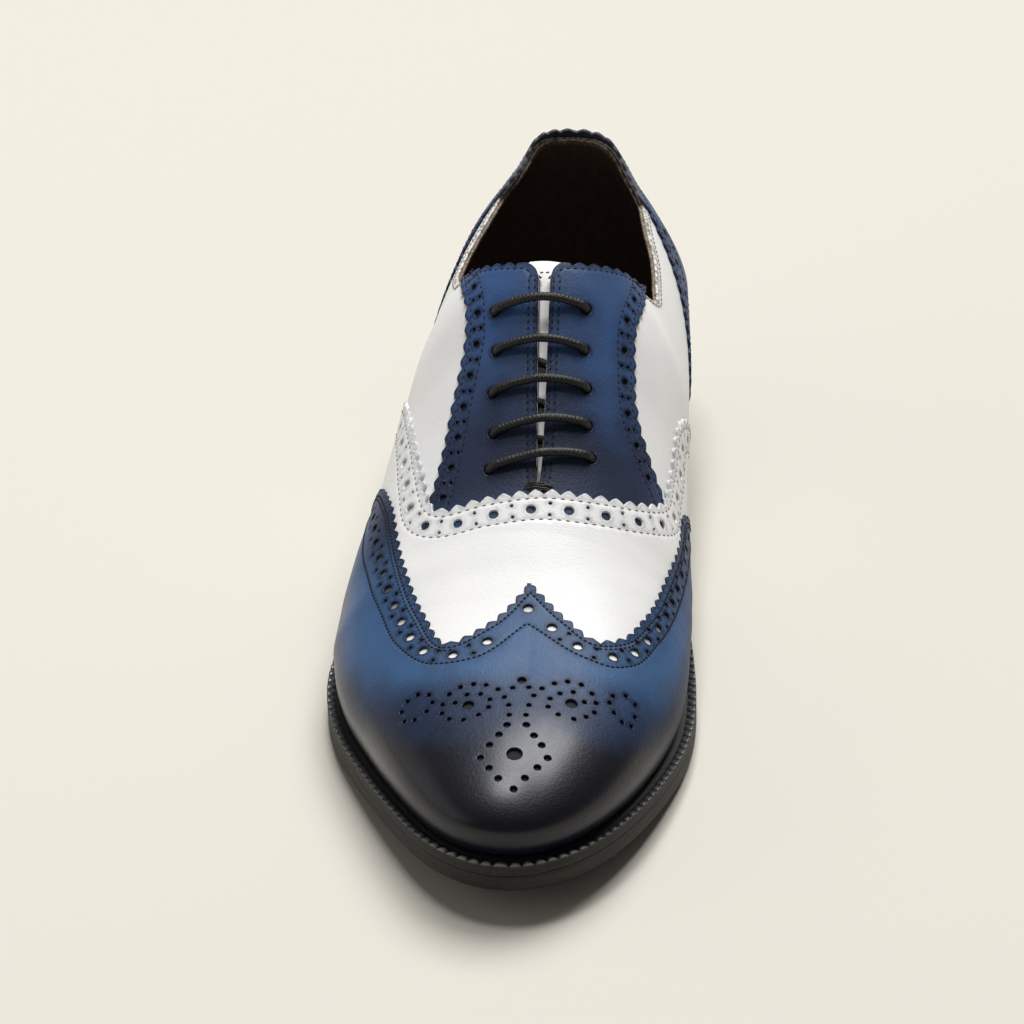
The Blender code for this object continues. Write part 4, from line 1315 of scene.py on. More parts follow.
SCROLL_MEDIAL = [(8.4, 29.2), (12.0, 30.7), (15.9, 30.6), (10.4, 25.5), (14.0, 27.1), (19.2, 28.4),
                 (7.8, 22.8), (7.6, 19.4), (10.7, 17.0), (15.2, 16.6), (18.5, 18.8), (20.6, 21.6),
                 (20.7, 25.4), (17.5, 24.3), (24.9, 30.5), (28.3, 32.8), (31.1, 31.8), (31.5, 27.6),
                 (30.8, 23.5), (28.3, 22.8), (25.9, 24.7), (24.3, 27.5)]


def toe_spots(offsets):
    return dropped([(TOE_CENTRE[0] + x, TOE_CENTRE[1] + y) for x, y in offsets])


wing.punch(toe_spots([(0.0, 0.0)]), 2.2 * MM, 22)
wing.punch(toe_spots([(-15.5, 19.3), (14.0, 22.5)]), 1.7 * MM, 18)
wing.punch(toe_spots([(-1.0, 29.5)]), 1.25 * MM, 14)
wing.punch(toe_spots(DIAMOND), 1.0 * MM, 12)
wing.punch(toe_spots(STEM + SCROLL_LATERAL + SCROLL_MEDIAL), 0.75 * MM, 10)
print("Holes in the wing cap:", len(wing.holes))

# %% [markdown]
# The facings carry the eyelets. Their outer and top edges are gimped, their inner edges stand a few
# millimetres apart over the tongue, and each has a band of punched holes between two rows of thread.

# %% The facings
def slit_half(along):
    """Half the width of the lacing slit: nearly even, then closing at the throat."""
    share = np.clip((THROAT - along) / (THROAT - SLIT_START), 0, 1)
    return SLIT_TOP * share ** 0.4


def slit_edge(side, start_y, end_y):
    """The facing's inner edge, beside the lacing slit and on under the vamp."""
    y = np.linspace(start_y * MM, end_y * MM, 120)
    along = along_of(y)
    x = ridge_x(along) + side * (slit_half(along) + 0.0001)
    return laid(np.column_stack([x, y, ridge_height(along)]))


def facing_lines(side):
    """The facing's outer edge, top edge, top corner, inner edge and hidden front end."""
    inner = slit_edge(side, 34.0, -35.0)
    tip = tuple(inner[0] / MM)
    if side < 0:
        outer = [(-27.0, 53.0), (-25.6, 43), (-23.4, 34), (-22.7, 27.7), (-24.0, 12), (-24.9, 5.8),
                 (-26.5, -8), (-28.9, -21.8), (-33, -36)]
        top = [(-8.0, 39.6), (-13.9, 42.2), (-19.2, 45.6), (-24.1, 50.0), (-27.0, 53.0)]
        corner = [(-1.8, 36.6), (-4.2, 38.8), (-8.0, 39.6)]
        throat = (-16, -36, 56)
    else:
        outer = [(29.2, 60.4), (29.9, 52), (29.8, 45), (28.8, 35.7), (29.5, 22), (30.7, 13.1),
                 (35.4, 2.9), (40.6, -4.4), (45, -12)]
        top = [(8.6, 40.2), (12.9, 42.4), (17.9, 46.4), (23.0, 52.0), (27.3, 57.5), (29.2, 60.4)]
        corner = [(3.6, 37.0), (5.4, 39.2), (8.6, 40.2)]
        throat = (24, -30, 55)
    outer = line_of(from_above(outer))
    end = line_of([tuple(inner[-1] / MM), throat, tuple(outer[-1] / MM)])
    return outer, line_of(from_above(top)), line_of([tip] + from_above(corner)), inner, end


EYELETS = {-1: [(-13.4, 26.9), (-11.9, 16), (-12, 4.4), (-10.6, -7.2), (-10.9, -17.4)],
           1: [(14.1, 28.4), (14.5, 17.5), (16.1, 7.3), (17.2, -2.9), (19.1, -11.6)]}
EYELET = 0.00175
facings = {}
facing_areas = []
for side, name in ((-1, "facing_lateral"), (1, "facing_medial")):
    outer, top, corner, inner, end = facing_lines(side)
    loop = np.concatenate([
        gimped(top, 4.8 * MM, 1.4 * MM, side)[:-1], gimped(outer, 5.1 * MM, 1.4 * MM, side)[:-1],
        end[::-1][:-1], inner[::-1][:-1], corner[:-1]])
    panel = Panel(name + "_leather", top_chart, loop)
    panel.punch(dropped(EYELETS[side]), EYELET, 18)
    band = beside(outer, -side * 4.8 * MM)
    places = np.arange(6.0 * MM, measure(outer)[-1] - 14 * MM, 10.4 * MM)
    punched_band(panel, band, places, middles_of(places), 1.15 * MM, 0.55 * MM, 1.25 * MM)
    panel.sew([beside(outer, -side * 2.3 * MM), beside(outer, -side * 7.4 * MM),
               beside(np.concatenate([corner, top[1:]]), -side * 2.2 * MM),
               beside(inner, side * 1.1 * MM), beside(inner, side * 2.9 * MM)[:-20]])
    facings[side] = panel
    facing_areas.append((panel.outline_flat, tree_of(panel.outline_flat)))
    panel.build([BLUE], [name])

# %% [markdown]
# The vamp lies over the lower ends of the facings, so its sheet is lifted where they pass under it,
# which shows as a soft step. It runs on under the wing cap for the width of a seam.

# %% The vamp
def vamp_under(flat):
    """The vamp rises over the lower ends of the facings."""
    within = np.zeros(len(flat))
    for loop, tree in facing_areas:
        gap = distance_to(tree, flat) * np.where(inside(flat, loop), 1, -1)
        within = np.maximum(within, smoothstep(-0.018, 0.003, gap))
    return CLEAR + 0.0007 * within


vamp_top = gimped(vamp_edge, 4.9 * MM, 1.9 * MM)
vamp_front = above_feather(wing_row(12 * MM))
vamp_outline = np.concatenate([
    vamp_top, feather_line(along_of(vamp_top[-1, 1]), along_of(vamp_front[-1, 1]), 1)[1:-1],
    vamp_front[::-1], feather_line(along_of(vamp_front[0, 1]), along_of(vamp_top[0, 1]), -1)[1:-1]])
vamp = Panel("vamp_leather", top_chart, vamp_outline, vamp_under)
vamp.sew([beside(vamp_edge, -2.6 * MM), beside(vamp_edge, -10.0 * MM)])
band = beside(vamp_edge, -6.4 * MM)
middle = int(np.argmin(np.abs(band[:, 0] - 8.7 * MM) + np.abs(band[:, 1] + 30 * MM)))
for first, part in ((0, band[middle:]), (1, band[middle::-1])):
    places = np.arange(-5.6, measure(part)[-1] / MM - 3.0, 11.2) * MM
    places[0] = 0.0
    middles = middles_of(places)
    middles[0] = 0.0
    punched_band(vamp, part, places[1:], middles[first:], 1.5 * MM, 0.6 * MM, 2.0 * MM)


def under_flanks(points):
    """How much the wing cap's flanks keep the light from the vamp below their holes."""
    flat = top_chart.draw(points)
    under = inside(flat, wing.outline_flat) & (distance_to(wing_edge_tree, flat) > 0.003)
    return under * smoothstep(-0.074, -0.050, points[:, 1]) * 0.93


# Painted shade on the vamp where it lies under the wing cap's flanks
vamp.more_marks["shaded_underlay"] = under_flanks
vamp.build([WHITE], ["vamp"])
wing.build([BLUE], ["wing_cap"])

# %% [markdown]
# The counter wraps the heel. At the back it carries on above the topline as a gimped strip, so its
# inner face shows over the collar. Its pattern is cut on the side chart.

# %% The counter
def counter_front(side):
    high = [(114.5, 108), (113, 97), (110.5, 88), (106.5, 79)] if side < 0 else [
        (119.5, 104), (117.5, 93), (114, 84), (109, 78)]
    low = [(101, 68), (91, 58.5), (80, 50.5), (70, 42.5), (64, 34), (60, 20), (59, 14)]
    return above_feather(line_of(from_side(high + low, side)))


def run_of_share(share, along):
    """The running number of a rib at a share of its width."""
    return np.arcsin(share ** (SECTION.read("square", along) / 2)) * 2 / math.pi


def topline_run(along, side):
    """The running number of the ribs where the topline lies."""
    return run_of_share(TOPLINE.read("medial" if side > 0 else "lateral", along), along)


def collar_line(side, out, end_along):
    """A line that follows the topline round the back, at a distance above it."""
    along = np.linspace(0.0, end_along, 160)
    station = station_at(along)
    reach = reach_of_run(station, side, topline_run(along, side))
    return surface(station, reach - side * out / rib_length(station, np.full_like(station, side)))


STRIP_END = {-1: 0.116, 1: 0.096}
STRIP_HEIGHT = 0.0036
strips = {}
fronts = {}
for side in (-1, 1):
    front = counter_front(side)
    top = collar_line(side, STRIP_HEIGHT, STRIP_END[side])
    start = 0
    while front[start, 2] > top[-1, 2] - 0.002 or front[start, 1] > top[-1, 1] - 0.001:
        start += 1
    strips[side] = top
    fronts[side] = front[start:]


def counter_teeth(line):
    return gimped(line, 4.6 * MM, 1.4 * MM, -1.0)[:-1]


counter_loop = np.concatenate([
    counter_teeth(strips[-1][::-1]), counter_teeth(strips[1]), counter_teeth(fronts[1]),
    feather_line(float(along_of(fronts[1][-1, 1])), 0.0, 1)[1:-1],
    feather_line(0.0, float(along_of(fronts[-1][-1, 1])), -1)[:-1], counter_teeth(fronts[-1][::-1])])
counter = Panel("counter_leather", side_chart, counter_loop)
counter_rows = []
for side in (-1, 1):
    counter_rows += [beside(fronts[side], side * 2.3 * MM), beside(fronts[side], side * 10.0 * MM),
                     collar_line(side, -0.0024, STRIP_END[side] + 0.01)]
    band = beside(fronts[side], side * 6.2 * MM)
    places = np.arange(7.0 * MM, measure(band)[-1] - 5 * MM, 10.6 * MM)
    punched_band(counter, band, places, middles_of(places), 1.4 * MM, 0.6 * MM, 1.8 * MM)
counter.sew(counter_rows)


def above_topline(points):
    """1 on the strip that stands above the topline, 0 below it."""
    spots = on_last(points)
    along = along_at(spots[:, 0])
    side = np.where(spots[:, 1] < 0, -1.0, 1.0)
    tops = [np.abs(reach_of_run(spots[:, 0], k, topline_run(along, k))) for k in (-1, 1)]
    top = np.where(side < 0, tops[0], tops[1])
    return smoothstep(-0.0004, 0.0006, (top - np.abs(spots[:, 1])) * rib_length(spots[:, 0], side))


counter.more_marks["strip"] = above_topline
counter.build([BLUE], ["counter"], closed=True)

# %% [markdown]
# The overlays are sewn down with a row of thread along each edge and each band. The wing cap has the
# heaviest thread and a second, finer row; the white vamp has white thread painted grey for the shade
# of its sunken seam, the blue pieces dark.

# %% Stitches of the overlays
make_stitches("wing_stitches", wing, [(wing.seams, 1.6 * MM, 1.5 * MM, 0.38 * MM),
                                      (wing_seam_two, 1.6 * MM, 1.4 * MM, 0.26 * MM)],
              THREAD_DARK)
make_stitches("vamp_stitches", vamp, [(vamp.seams, 2.6 * MM, 1.7 * MM, 0.24 * MM)],
              WHITE_THREAD_SHADED)
for side, name in ((-1, "lateral"), (1, "medial")):
    make_stitches("facing_stitches_" + name, facings[side],
                  [(facings[side].seams, 2.2 * MM, 1.5 * MM, 0.25 * MM)], THREAD_DARK)
make_stitches("counter_stitches", counter, [(counter.seams, 2.1 * MM, 1.6 * MM, 0.26 * MM)],
              THREAD_DARK)

# %% [markdown]
# Under the overlays lies the upper itself: white leather outside and a dark leather lining inside.
# Its outer face, its lining and the folded strip along the topline are three meshes, so that each
# has its own finish. The quarters show it in the open, and the punched holes show it underneath.

# %% The upper's outer face
def top_reach(station, side):
    """The reach at which the upper ends: at the topline, at the lacing slit, or on the ridge."""
    along = along_at(station)
    wide = np.abs(side_point(along, np.full_like(along, side))[:, 0] - ridge_x(spine(along)))
    share = np.clip(slit_half(along) / np.maximum(wide, 0.001), 0, 1)
    run = np.where(along <= SLIT_START, topline_run(along, side), run_of_share(share, along))
    return np.abs(reach_of_run(station, side, run))


def whole_upper(stations, columns):
    """Stations and reaches in rows from the upper's top edge down to the feather, all round."""
    stations = np.linspace(0, 1, stations)
    spots = []
    for side, order in ((-1, stations), (1, stations[::-1][1:-1])):
        top = top_reach(order, side)[:, None]
        reach = top + (1 - top) * np.linspace(0, 1, columns)
        spots.append(np.stack([np.repeat(order[:, None], columns, 1), reach * side], -1))
    return np.concatenate(spots)


def grid_faces(rows, columns, closed, flip=False):
    faces = []
    for i in range(rows if closed else rows - 1):
        k = (i + 1) % rows
        for j in range(columns - 1):
            face = (i * columns + j, k * columns + j, k * columns + j + 1, i * columns + j + 1)
            faces.append(face[::-1] if flip else face)
    return faces


def grid_normals(points):
    along = np.roll(points, -1, axis=0) - np.roll(points, 1, axis=0)
    return unit(np.cross(np.gradient(points, axis=1), along))


ROWS, COLUMNS = ((330, 76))
spots = whole_upper(ROWS, COLUMNS)
points = surface_at(spots)
rows = len(points)
normals = grid_normals(points).reshape(-1, 3)
points = points.reshape(-1, 3)
points = points + creases(points, normals)
places = top_flat(spots.reshape(-1, 2))
# Painted shade: the upper under the wing cap and the facings is marked to turn nearly black, the shade seen
# through their holes; under the toe it also stands for the dark lining
shaded_underlay = inside(places, wing.outline_flat) & (distance_to(wing_edge_tree, places) > 0.011)
for loop, tree in facing_areas:
    shaded_underlay |= inside(places, loop)
upper = new_object("upper_leather", points, grid_faces(rows, COLUMNS, True, flip=True), [WHITE],
                   normals=normals, marks={"rim": np.full(len(points), 9.0), "shaded_underlay": shaded_underlay})
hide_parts("upper")

# %% [markdown]
# The lining is a second skin two millimetres inside the first. Along the topline the leather is
# folded over: a narrow white edge that wear has rubbed brown, and behind it the tan of the lining's
# own fold. Both are one cross section swept round the collar, with a row of stitches on each side.

# %% The lining and the folded topline
LINING_COLUMNS = 44
inner = surface_at(whole_upper(200, LINING_COLUMNS))
inner = inner - grid_normals(inner) * 0.002
lining = new_object("lining", inner.reshape(-1, 3), grid_faces(len(inner), LINING_COLUMNS, True), [LINING])


def topline_rings(side, profile):
    """A cross section swept along the topline of one side, from the heel to the lacing slit."""
    along = np.linspace(0.0, SLIT_START, 150)
    station = station_at(along)
    reach = top_reach(station, side)
    length = rib_length(station, np.full_like(station, side))
    edge = surface(station, side * reach)
    below = surface(station, side * (reach + 0.001 / length))
    up = unit(edge - below)
    run = np.gradient(edge, axis=0)
    if side < 0:
        run[0] = edge[1] - edge[0]
    normal = unit(np.cross(up, run) * side)
    return np.stack([edge + normal * out * MM + up * high * MM for out, high in profile], 1)


def sweep(name, profile, material):
    rings = np.concatenate([topline_rings(-1, profile)[::-1], topline_rings(1, profile)[1:]])
    faces = grid_faces(len(rings), len(profile), False, flip=True)
    obj = new_object(name, rings.reshape(-1, 3), faces, [material])


sweep("topline_edge", [(0.02, -1.2), (0.02, 0.05), (-0.15, 0.35), (-0.5, 0.45), (-0.85, 0.35), (-0.95, -0.2)],
      WHITE_EDGE)
sweep("topline_fold", [(-0.9, -0.1), (-1.0, 0.45), (-1.3, 0.75), (-1.7, 0.75), (-2.0, 0.45), (-2.1, -0.2),
                       (-2.12, -1.2)], TAN)


def collar_thread(name, out, high, pitch, material):
    """A row of stitches that follows the topline at a height, outside or inside the wall."""
    rows = []
    for side in (-1, 1):
        rings = topline_rings(side, [(out, high), (out + math.copysign(1.0, out), high)])[3:-3]
        rows.append(thread_row(rings[:, 0], rings[:, 1] - rings[:, 0], pitch, 0.00024))
    obj = new_object(name, *merged(rows), [material])


collar_thread("topline_stitches_outside", 0.12, -1.9, 2.1 * MM, WHITE_THREAD_SHADED)
collar_thread("topline_stitches_inside", -2.14, -1.7, 1.9 * MM, THREAD_TAN)
print("Upper, lining and topline made")

# %% [markdown]
# The tongue is a leaf of soft leather under the facings. Its rounded top shows behind the upper
# corners, with one row of thread along its edge. It is a closed sheet with rounded sides.

# %% The tongue
def leaf(along_low, along_high, half_width, rows, columns):
    """Plan places of a leaf with a rounded top, laid along the ridge."""
    v = np.linspace(0, 1, rows) ** 1.3
    u = np.linspace(-1, 1, columns)
    width = half_width * np.sqrt(1 - 0.94 * np.clip(1 - v / 0.30, 0, 1) ** 2.2)
    along = along_low + (along_high - along_low) * v[:, None] + 0 * u[None, :]
    return ridge_x(along) + u[None, :] * width[:, None], y_of(along)


TONGUE_TOP = 0.1038 / LENGTH
TONGUE_END = 0.187 / LENGTH
x, y = leaf(TONGUE_TOP, TONGUE_END, 0.023, 70, 41)
leaf_points = dropped(np.column_stack([x.ravel(), y.ravel()]) / MM).reshape(70, 41, 3)
leaf_normals = unit(np.cross(np.gradient(leaf_points, axis=1), -np.gradient(leaf_points, axis=0)))


def face_outward(obj, weld=None):
    """Turns the faces of a closed mesh outward, with points closer than weld made one."""
    bm = bmesh.new()
    bm.from_mesh(obj.data)
    if weld:
        bmesh.ops.remove_doubles(bm, verts=bm.verts, dist=weld)
    bmesh.ops.recalc_face_normals(bm, faces=bm.faces)
    bm.to_mesh(obj.data)
    bm.free()


def slab_mesh(name, points, normals, high, low, edge, materials):
    """A closed sheet between two heights, with rounded edges."""
    rows, columns, _ = points.shape
    border = [(0, j) for j in range(columns)] + [(i, columns - 1) for i in range(1, rows)]
    border += [(rows - 1, j) for j in range(columns - 2, -1, -1)] + [(i, 0) for i in range(rows - 2, 0, -1)]
    centre = points.reshape(-1, 3).mean(0)
    top = (points + normals * high).reshape(-1, 3)
    bottom = (points + normals * low).reshape(-1, 3)
    all_points = [top, bottom]
    count = len(top)
    faces = grid_faces(rows, columns, False, flip=True)
    faces += [tuple(i + count for i in face[::-1]) for face in faces]
    loop = np.array([i * columns + j for i, j in border])
    spot = points.reshape(-1, 3)[loop]
    normal = normals.reshape(-1, 3)[loop]
    out = unit(np.cross(np.roll(spot, -1, axis=0) - np.roll(spot, 1, axis=0), normal))
    out = -out if ((spot - centre) * out).sum(1).mean() < 0 else out
    rings = [loop]
    total = 2 * count
    for level, reach in ((0.86, 0.7), (0.5, 1.0), (0.14, 0.7)):
        all_points.append(spot + normal * (low + (high - low) * level) + out * edge * reach)
        rings.append(np.arange(total, total + len(loop)))
        total += len(loop)
    rings.append(loop + count)
    for one, other in zip(rings, rings[1:]):
        faces += zip(one, np.roll(one, -1), np.roll(other, -1), other)
    obj = new_object(name, np.concatenate(all_points), faces, materials, marks={"rim": np.full(total, 9.0)})
    face_outward(obj)
    return obj


tongue = slab_mesh("tongue_leather", leaf_points, leaf_normals, -0.0029, -0.0045, 0.0006, [WHITE])
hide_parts("tongue")

x = np.linspace(-9.0, 15.0, 90)
y = y_of(TONGUE_TOP) / MM - 4.4 - 0.016 * (x - 3.2) ** 2
tongue_seam = dropped(np.column_stack([x, y]))
away = normals_at(tongue_seam)
row = thread_row(tongue_seam - away * 0.00285, away, 1.9 * MM, 0.0002)
tongue_thread = new_object("tongue_stitches", *row, [WHITE_THREAD_SHADED])
print("Tongue made")

# %% [markdown]
# The sock is the leather that the foot stands on, over the insole. It follows the sole's curve and
# turns up a little where it meets the lining.

# %% The sock
def plate(out, columns, height):
    """Rows of points from side to side over the whole sole, at a height given by place and share."""
    along = along_at(np.linspace(0, 1, PLATE_ROWS))
    left, right = (edge_point(along, np.full_like(along, side), out(along))[:, None] for side in (-1.0, 1.0))
    share = (1 - np.cos(np.linspace(0, math.pi, columns))) / 2
    spots = left * (1 - share)[:, None] + right * share[:, None]
    level = height(along_of(spots[..., 1]), share)
    return np.concatenate([spots, level[..., None]], -1).reshape(-1, 3)


PLATE_ROWS = 150
SOCK_COLUMNS = 30
sock_points = plate(lambda along: np.full_like(along, -0.0027), SOCK_COLUMNS,
                    lambda along, share: feather_height(along) + 0.0022 + 0.0025 * np.abs(2 * share - 1) ** 6)
sock = new_object("sock", sock_points, grid_faces(PLATE_ROWS, SOCK_COLUMNS, False), [LINING])
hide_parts("insole")
print("Sock made")

# %% [markdown]
# The welt is a strip sewn round between upper and outsole. A heated wheel presses ribs into its
# rim, which stand as small half domes with their flat side at the edge. The sole's edge below is
# trimmed leather, stained and polished.

# %% Welt and outsole
RIB_PITCH = 0.0033
RIB_STEPS = 10
RIB_HEIGHT = 0.0008
RIB_DEPTH = 0.0024
ring_count = int(round(2 * PERIMETER / RIB_PITCH)) * RIB_STEPS
ring_walk = np.linspace(0, 2, ring_count, endpoint=False)
ring_side = np.where(ring_walk <= 1, -1.0, 1.0)
ring_station = np.where(ring_walk <= 1, ring_walk, 2 - ring_walk)
ring_along = along_at(ring_station)
ring_phase = (np.arange(ring_count) % RIB_STEPS) / RIB_STEPS


def sole_ring(profile):
    """Rings of points round the sole: profile rows give distance inside the rim and height."""
    rings = []
    full = EDGE.read("out", ring_along) * WELT_EDGE
    for inset, height in profile:
        spot = edge_point(ring_along, ring_side, full - inset)
        rings.append(np.column_stack([spot, sole_height(along_of(spot[:, 1])) + height]))
    return np.stack(rings, 1)


def dome(inset):
    """How far the ribs stand up at a distance inside the rim, as shares of their full height."""
    across = (ring_phase - 0.5) / 0.46
    return np.sqrt(np.maximum(1 - across ** 2 - (inset / RIB_DEPTH) ** 2, 0))


base = OUTSOLE + GAP
flat_top = base + WELT - 0.0006
welt_profile = [(0.0, base - GAP * 0.5), (0.0, base + 0.0003), (0.0, flat_top - 0.0003), (0.00003, flat_top)]
welt_profile += [(inset, flat_top + RIB_HEIGHT * dome(inset))
                 for inset in (0.00006, 0.0004, 0.0008, 0.0012, 0.0016, 0.0020, RIB_DEPTH)]
welt_profile += [(0.0028, flat_top - 0.0002), (0.0034, flat_top + 0.0001), (0.0046, flat_top + 0.0003),
                 (0.0062, flat_top + 0.0004), (0.0085, flat_top + 0.0006)]
rings = sole_ring(welt_profile)
columns = len(welt_profile)
face_slots = np.tile([1, 1, 1] + [0] * (columns - 4), len(rings))
lump = np.stack([dome(inset) * (0.00005 < inset <= RIB_DEPTH) for inset, _ in welt_profile], 1)
welt = new_object("welt_strip", rings.reshape(-1, 3), grid_faces(len(rings), columns, True),
                  [WELT_BLACK, SOLE], face_slots=face_slots, marks={"lump": lump.ravel()})
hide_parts("welt")

sole_profile = [(0.012, 0.0), (0.004, 0.0), (0.0012, 0.00005), (0.0004, 0.00035), (0.0, 0.001), (0.0, 0.003),
                (0.0, 0.0048), (0.0, OUTSOLE - 0.0002), (0.00006, OUTSOLE), (0.004, OUTSOLE)]
rings = sole_ring(sole_profile)
rim = new_object("outsole_edge", rings.reshape(-1, 3), grid_faces(len(rings), len(sole_profile), True),
                 [SOLE])
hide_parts("outsole")
TREAD_COLUMNS = 24
tread_points = plate(lambda along: EDGE.read("out", along) * WELT_EDGE - 0.0038, TREAD_COLUMNS,
                     lambda along, share: sole_height(along) + 0.00001)
tread = new_object("outsole_tread", tread_points, grid_faces(PLATE_ROWS, TREAD_COLUMNS, False, flip=True),
                   [SOLE])
print("Ribs on the welt:", ring_count // RIB_STEPS)

# %% [markdown]
# The heel is a stack of leather lifts, trimmed to the outsole's edge and tapered a little, with fine
# grooves where two lifts meet. Its lowest layer is a rubber top lift. The front face, the breast,
# is hollow in plan.

# %% The heel
def heel_block(name, low, high, taper, material, node, grooves=()):
    along = along_at(np.linspace(0, station_at(HEEL_LENGTH / LENGTH), 90))
    levels = sorted(set([0.0, 0.04, 0.96, 1.0] + list(np.linspace(0, 1, 9)) + list(grooves)))
    rings = []
    for level in levels:
        inset = taper * (1 - level) + 0.0004 * (level in (0.0, 1.0)) + 0.0002 * (level in grooves)
        out = EDGE.read("out", along) * WELT_EDGE - inset
        left = edge_point(along, np.full_like(along, -1.0), out)
        right = edge_point(along, np.full_like(along, 1.0), out)
        t = np.linspace(0, 1, 30)[1:-1, None]
        front = left[-1] * (1 - t) + right[-1] * t
        front[:, 1] += 0.003 * 4 * (t * (1 - t))[:, 0]
        plan = np.concatenate([left, front, right[::-1]])
        bottom = low(along_of(plan[:, 1]))
        top = high(along_of(plan[:, 1]))
        rings.append(np.column_stack([plan, bottom + (top - bottom) * level]))
    rings = np.stack(rings, 1)
    count = len(rings)
    cap = [(i, (i + 1) % count, count) for i in range(count)]
    parts = [(rings.reshape(-1, 3), grid_faces(count, len(levels), True))]
    parts += [(np.concatenate([ring, ring.mean(0)[None]]), cap) for ring in (rings[:, 0], rings[:, -1])]
    obj = new_object(name, *merged(parts), [material])
    face_outward(obj, weld=1e-7)
    obj.data.set_sharp_from_angle(angle=math.radians(35))
    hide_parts(node)


heel_block("heel_layers", lambda at: np.full_like(at, TOP_LIFT + GAP),
           lambda at: sole_height(at) - 0.0001, 0.0012, SOLE, "heel_stack", (0.33, 0.66))
heel_block("top_lift_block", lambda at: np.zeros_like(at), lambda at: np.full_like(at, TOP_LIFT), 0.0003,
           RUBBER, "top_lift")
print("Sole and heel made")

# %% [markdown]
# One waxed cotton lace runs through all ten eyelets: straight bars outside, slanting runs between
# them under the facings. Its two ends go in at the top eyelets and stop inside the shoe, as they do
# when a pair is laced for show.

# %% The lace
LACE = 0.0027


def over(x, y, height):
    """A point above the instep, square to it, from numbers in millimetres."""
    spot = dropped([(x, y)])
    return (spot + normals_at(spot) * height * MM)[0]


def bar_points(left, right, lift):
    """A bar from one eyelet to the other: out of the hole, over the facing, over the slit, and in."""
    left = np.array(left)
    right = np.array(right)
    points = []
    for share, height in ((0.0, -2.6), (0.0, 0.4), (0.05, 2.0), (0.16, 2.55), (0.36, 2.9 + lift),
                          (0.5, 3.3 + lift), (0.64, 2.9 + lift), (0.84, 2.55), (0.95, 2.0), (1.0, 0.4),
                          (1.0, -2.6)):
        spot = left + (right - left) * share
        points.append(over(spot[0], spot[1], height))
    return points


lateral, medial = EYELETS[-1], EYELETS[1]
path = [over(-17.0, 30.0, -4.2)]
path += bar_points(lateral[0], medial[0], 0.6)
path += [over(15.6, 23.0, -3.6)]
path += bar_points(lateral[1], medial[1], 0.3)[::-1]
for pair in (2, 3, 4):
    start = np.array(lateral[pair - 1])
    end = np.array(medial[pair])
    for share in (0.3, 0.5, 0.7):
        spot = start + (end - start) * share
        path.append(over(spot[0], spot[1], -1.3))
    path += bar_points(lateral[pair], medial[pair], 0.15 if pair == 3 else 0.0)[::-1]
for y in (-8.0, 4.0, 16.0, 24.0):
    path.append(over(-15.5, y, -4.0))
lace_line = smooth_line(np.array(path) / MM, 0.00055)


def round_bar(line, radius, sides):
    """Points and faces of an open tube round a line, with a frame that is carried along it."""
    up = np.array([0.0, 0.0, 1.0])
    rings = []
    turn = np.linspace(0, 2 * math.pi, sides, endpoint=False)
    for point, step in zip(line, unit(np.gradient(line, axis=0))):
        up = unit(up - step * np.dot(up, step))
        across = np.cross(step, up)
        rings.append(point + radius * (np.cos(turn)[:, None] * across + np.sin(turn)[:, None] * up))
    return np.concatenate(rings), tube_faces(len(rings), sides, flip=True)


LACE_SIDES = 14
points, faces = round_bar(lace_line, LACE / 2, LACE_SIDES)
faces += [tuple(range(LACE_SIDES)), tuple(range(len(points) - LACE_SIDES, len(points)))[::-1]]
run = np.repeat(measure(lace_line), LACE_SIDES) / MM
turn = np.tile(np.arange(LACE_SIDES) / LACE_SIDES, len(lace_line))
lace = new_object("lace_cord", points, faces, [CORD], marks={"run": run, "turn": turn})
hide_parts("lace")
print("Lace length:", round(float(measure(lace_line)[-1]), 3), "m")

# %% [markdown]
# Where the slit ends at the throat, a bar tack holds the two facings together: a few loose turns of
# thick black thread sewn across. Each turn is off its place by a little, as hand work is.

# %% The bar tack at the throat
turns = []
rng = np.random.default_rng(7)
for k in range(5):
    y = -24.6 + k * 0.5 + rng.uniform(-0.12, 0.12)
    x = np.linspace(0.2, 9.0, 9) + rng.uniform(-0.3, 0.3)
    bow = np.sin(np.linspace(0, math.pi, 9))
    line = [over(a, y + 0.3 * b * rng.uniform(-1, 1), 0.55 + b + 0.25 * (k % 2)) for a, b in zip(x, bow)]
    turns.append(round_bar(smooth_line(np.array(line) / MM, 0.0004), 0.00033, 8))
tack = new_object("bar_tack", *merged(turns), [CORD])
print("Turns in the bar tack:", len(turns))

# %% [markdown]
# The shoe stands on pale paper that reaches far beyond the view. A large soft light stands high
# behind it, so the shadow falls forward before the toe. A small light puts the gleam on the toe, a
# faint one from the left lifts that flank, and the room itself gives a little warm light.
#
# The camera looks down at the shoe from the front through a long lens. Its middle lies to one side
# of the picture, so the lens axis is turned toward it without moving the eye.

# %% Floor, light and camera
def make_floor(reach):
    mesh = bpy.data.meshes.new("floor")
    corners = [(-reach, -reach, 0), (reach, -reach, 0), (reach, reach, 0), (-reach, reach, 0)]
    mesh.from_pydata(corners, [], [(0, 1, 2, 3)])
    floor = bpy.data.objects.new("floor", mesh)
    bpy.context.scene.collection.objects.link(floor)
    mesh.materials.append(paper_floor())


make_floor(6.0)


def area_light(name, place, aim, size, power, colour):
    light = bpy.data.lights.new(name, "AREA")
    light.shape = "RECTANGLE"
    light.size, light.size_y = size
    light.energy = power
    light.color = colour
    obj = bpy.data.objects.new(name, light)
    bpy.context.scene.collection.objects.link(obj)
    obj.location = place
    obj.rotation_euler = (Vector(aim) - Vector(place)).to_track_quat("-Z", "Y").to_euler()


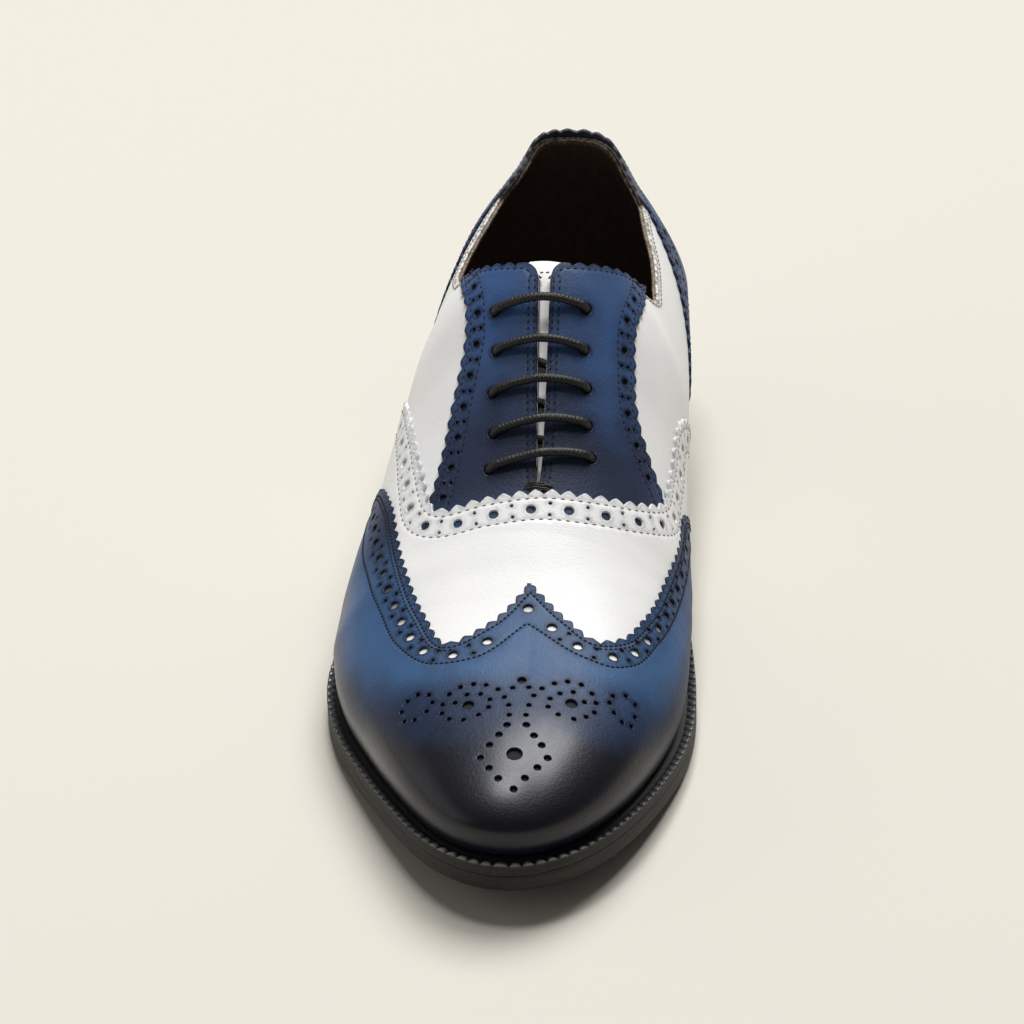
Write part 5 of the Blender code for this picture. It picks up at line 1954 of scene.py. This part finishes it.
area_light("overhead", (0.95, 4.5, 7.3), (0, 0, 0), (4.4, 4.0), 805.0, (1.0, 0.997, 0.99))
area_light("toe_light", (-0.13, 0.24, 1.6), (0.01, -0.12, 0.0), (0.32, 0.28), 8.0, (1.0, 0.997, 0.99))
area_light("left", (-1.5, -0.2, 0.6), (0, 0, 0.04), (1.8, 0.9), 4.0, (1.0, 0.99, 0.975))
world = bpy.data.worlds.new("studio")
bpy.context.scene.world = world
world.use_nodes = True
sky = world.node_tree.nodes["Background"]
sky.inputs["Color"].default_value = (1.0, 0.965, 0.92, 1.0)
sky.inputs["Strength"].default_value = 0.11
bpy.context.scene.view_settings.view_transform = "Standard"

PIXELS = 1024
SENSOR = 36.0
FOCAL = 4467.0
ELEVATION = math.radians(34.4)
DISTANCE = 1.365
TURN = math.radians(-4.3)
AIM = (0.0, -0.0166, 0.040)
SIDE_SHIFT = -0.0562
MIDDLE = (308.0, 484.0)


def to_shoe(x, y):
    """A place beside the pair, as seen from the one shoe."""
    x = x - SIDE_SHIFT
    return (x * math.cos(TURN) + y * math.sin(TURN) + STAND[0],
            -x * math.sin(TURN) + y * math.cos(TURN) + STAND[1])


def make_camera():
    eye = (AIM[0], AIM[1] - DISTANCE * math.cos(ELEVATION), AIM[2] + DISTANCE * math.sin(ELEVATION))
    eye = Vector((*to_shoe(eye[0], eye[1]), eye[2]))
    aim = Vector((*to_shoe(AIM[0], AIM[1]), AIM[2]))
    ahead = (aim - eye).normalized()
    right = ahead.cross(Vector((0, 0, 1))).normalized()
    up = right.cross(ahead)
    ray = ahead * FOCAL + right * (MIDDLE[0] - PIXELS / 2) - up * (MIDDLE[1] - PIXELS / 2)
    ahead = ray.normalized()
    right = (right - ahead * right.dot(ahead)).normalized()
    up = right.cross(ahead)
    turn = Matrix((right, up, -ahead)).transposed()
    data = bpy.data.cameras.new("camera")
    data.sensor_width = SENSOR
    data.lens = FOCAL / PIXELS * SENSOR
    camera = bpy.data.objects.new("camera", data)
    camera.matrix_world = Matrix.Translation(eye) @ turn.to_4x4()
    bpy.context.scene.collection.objects.link(camera)
    bpy.context.scene.camera = camera


make_camera()
print("Lights:", len(bpy.data.lights))
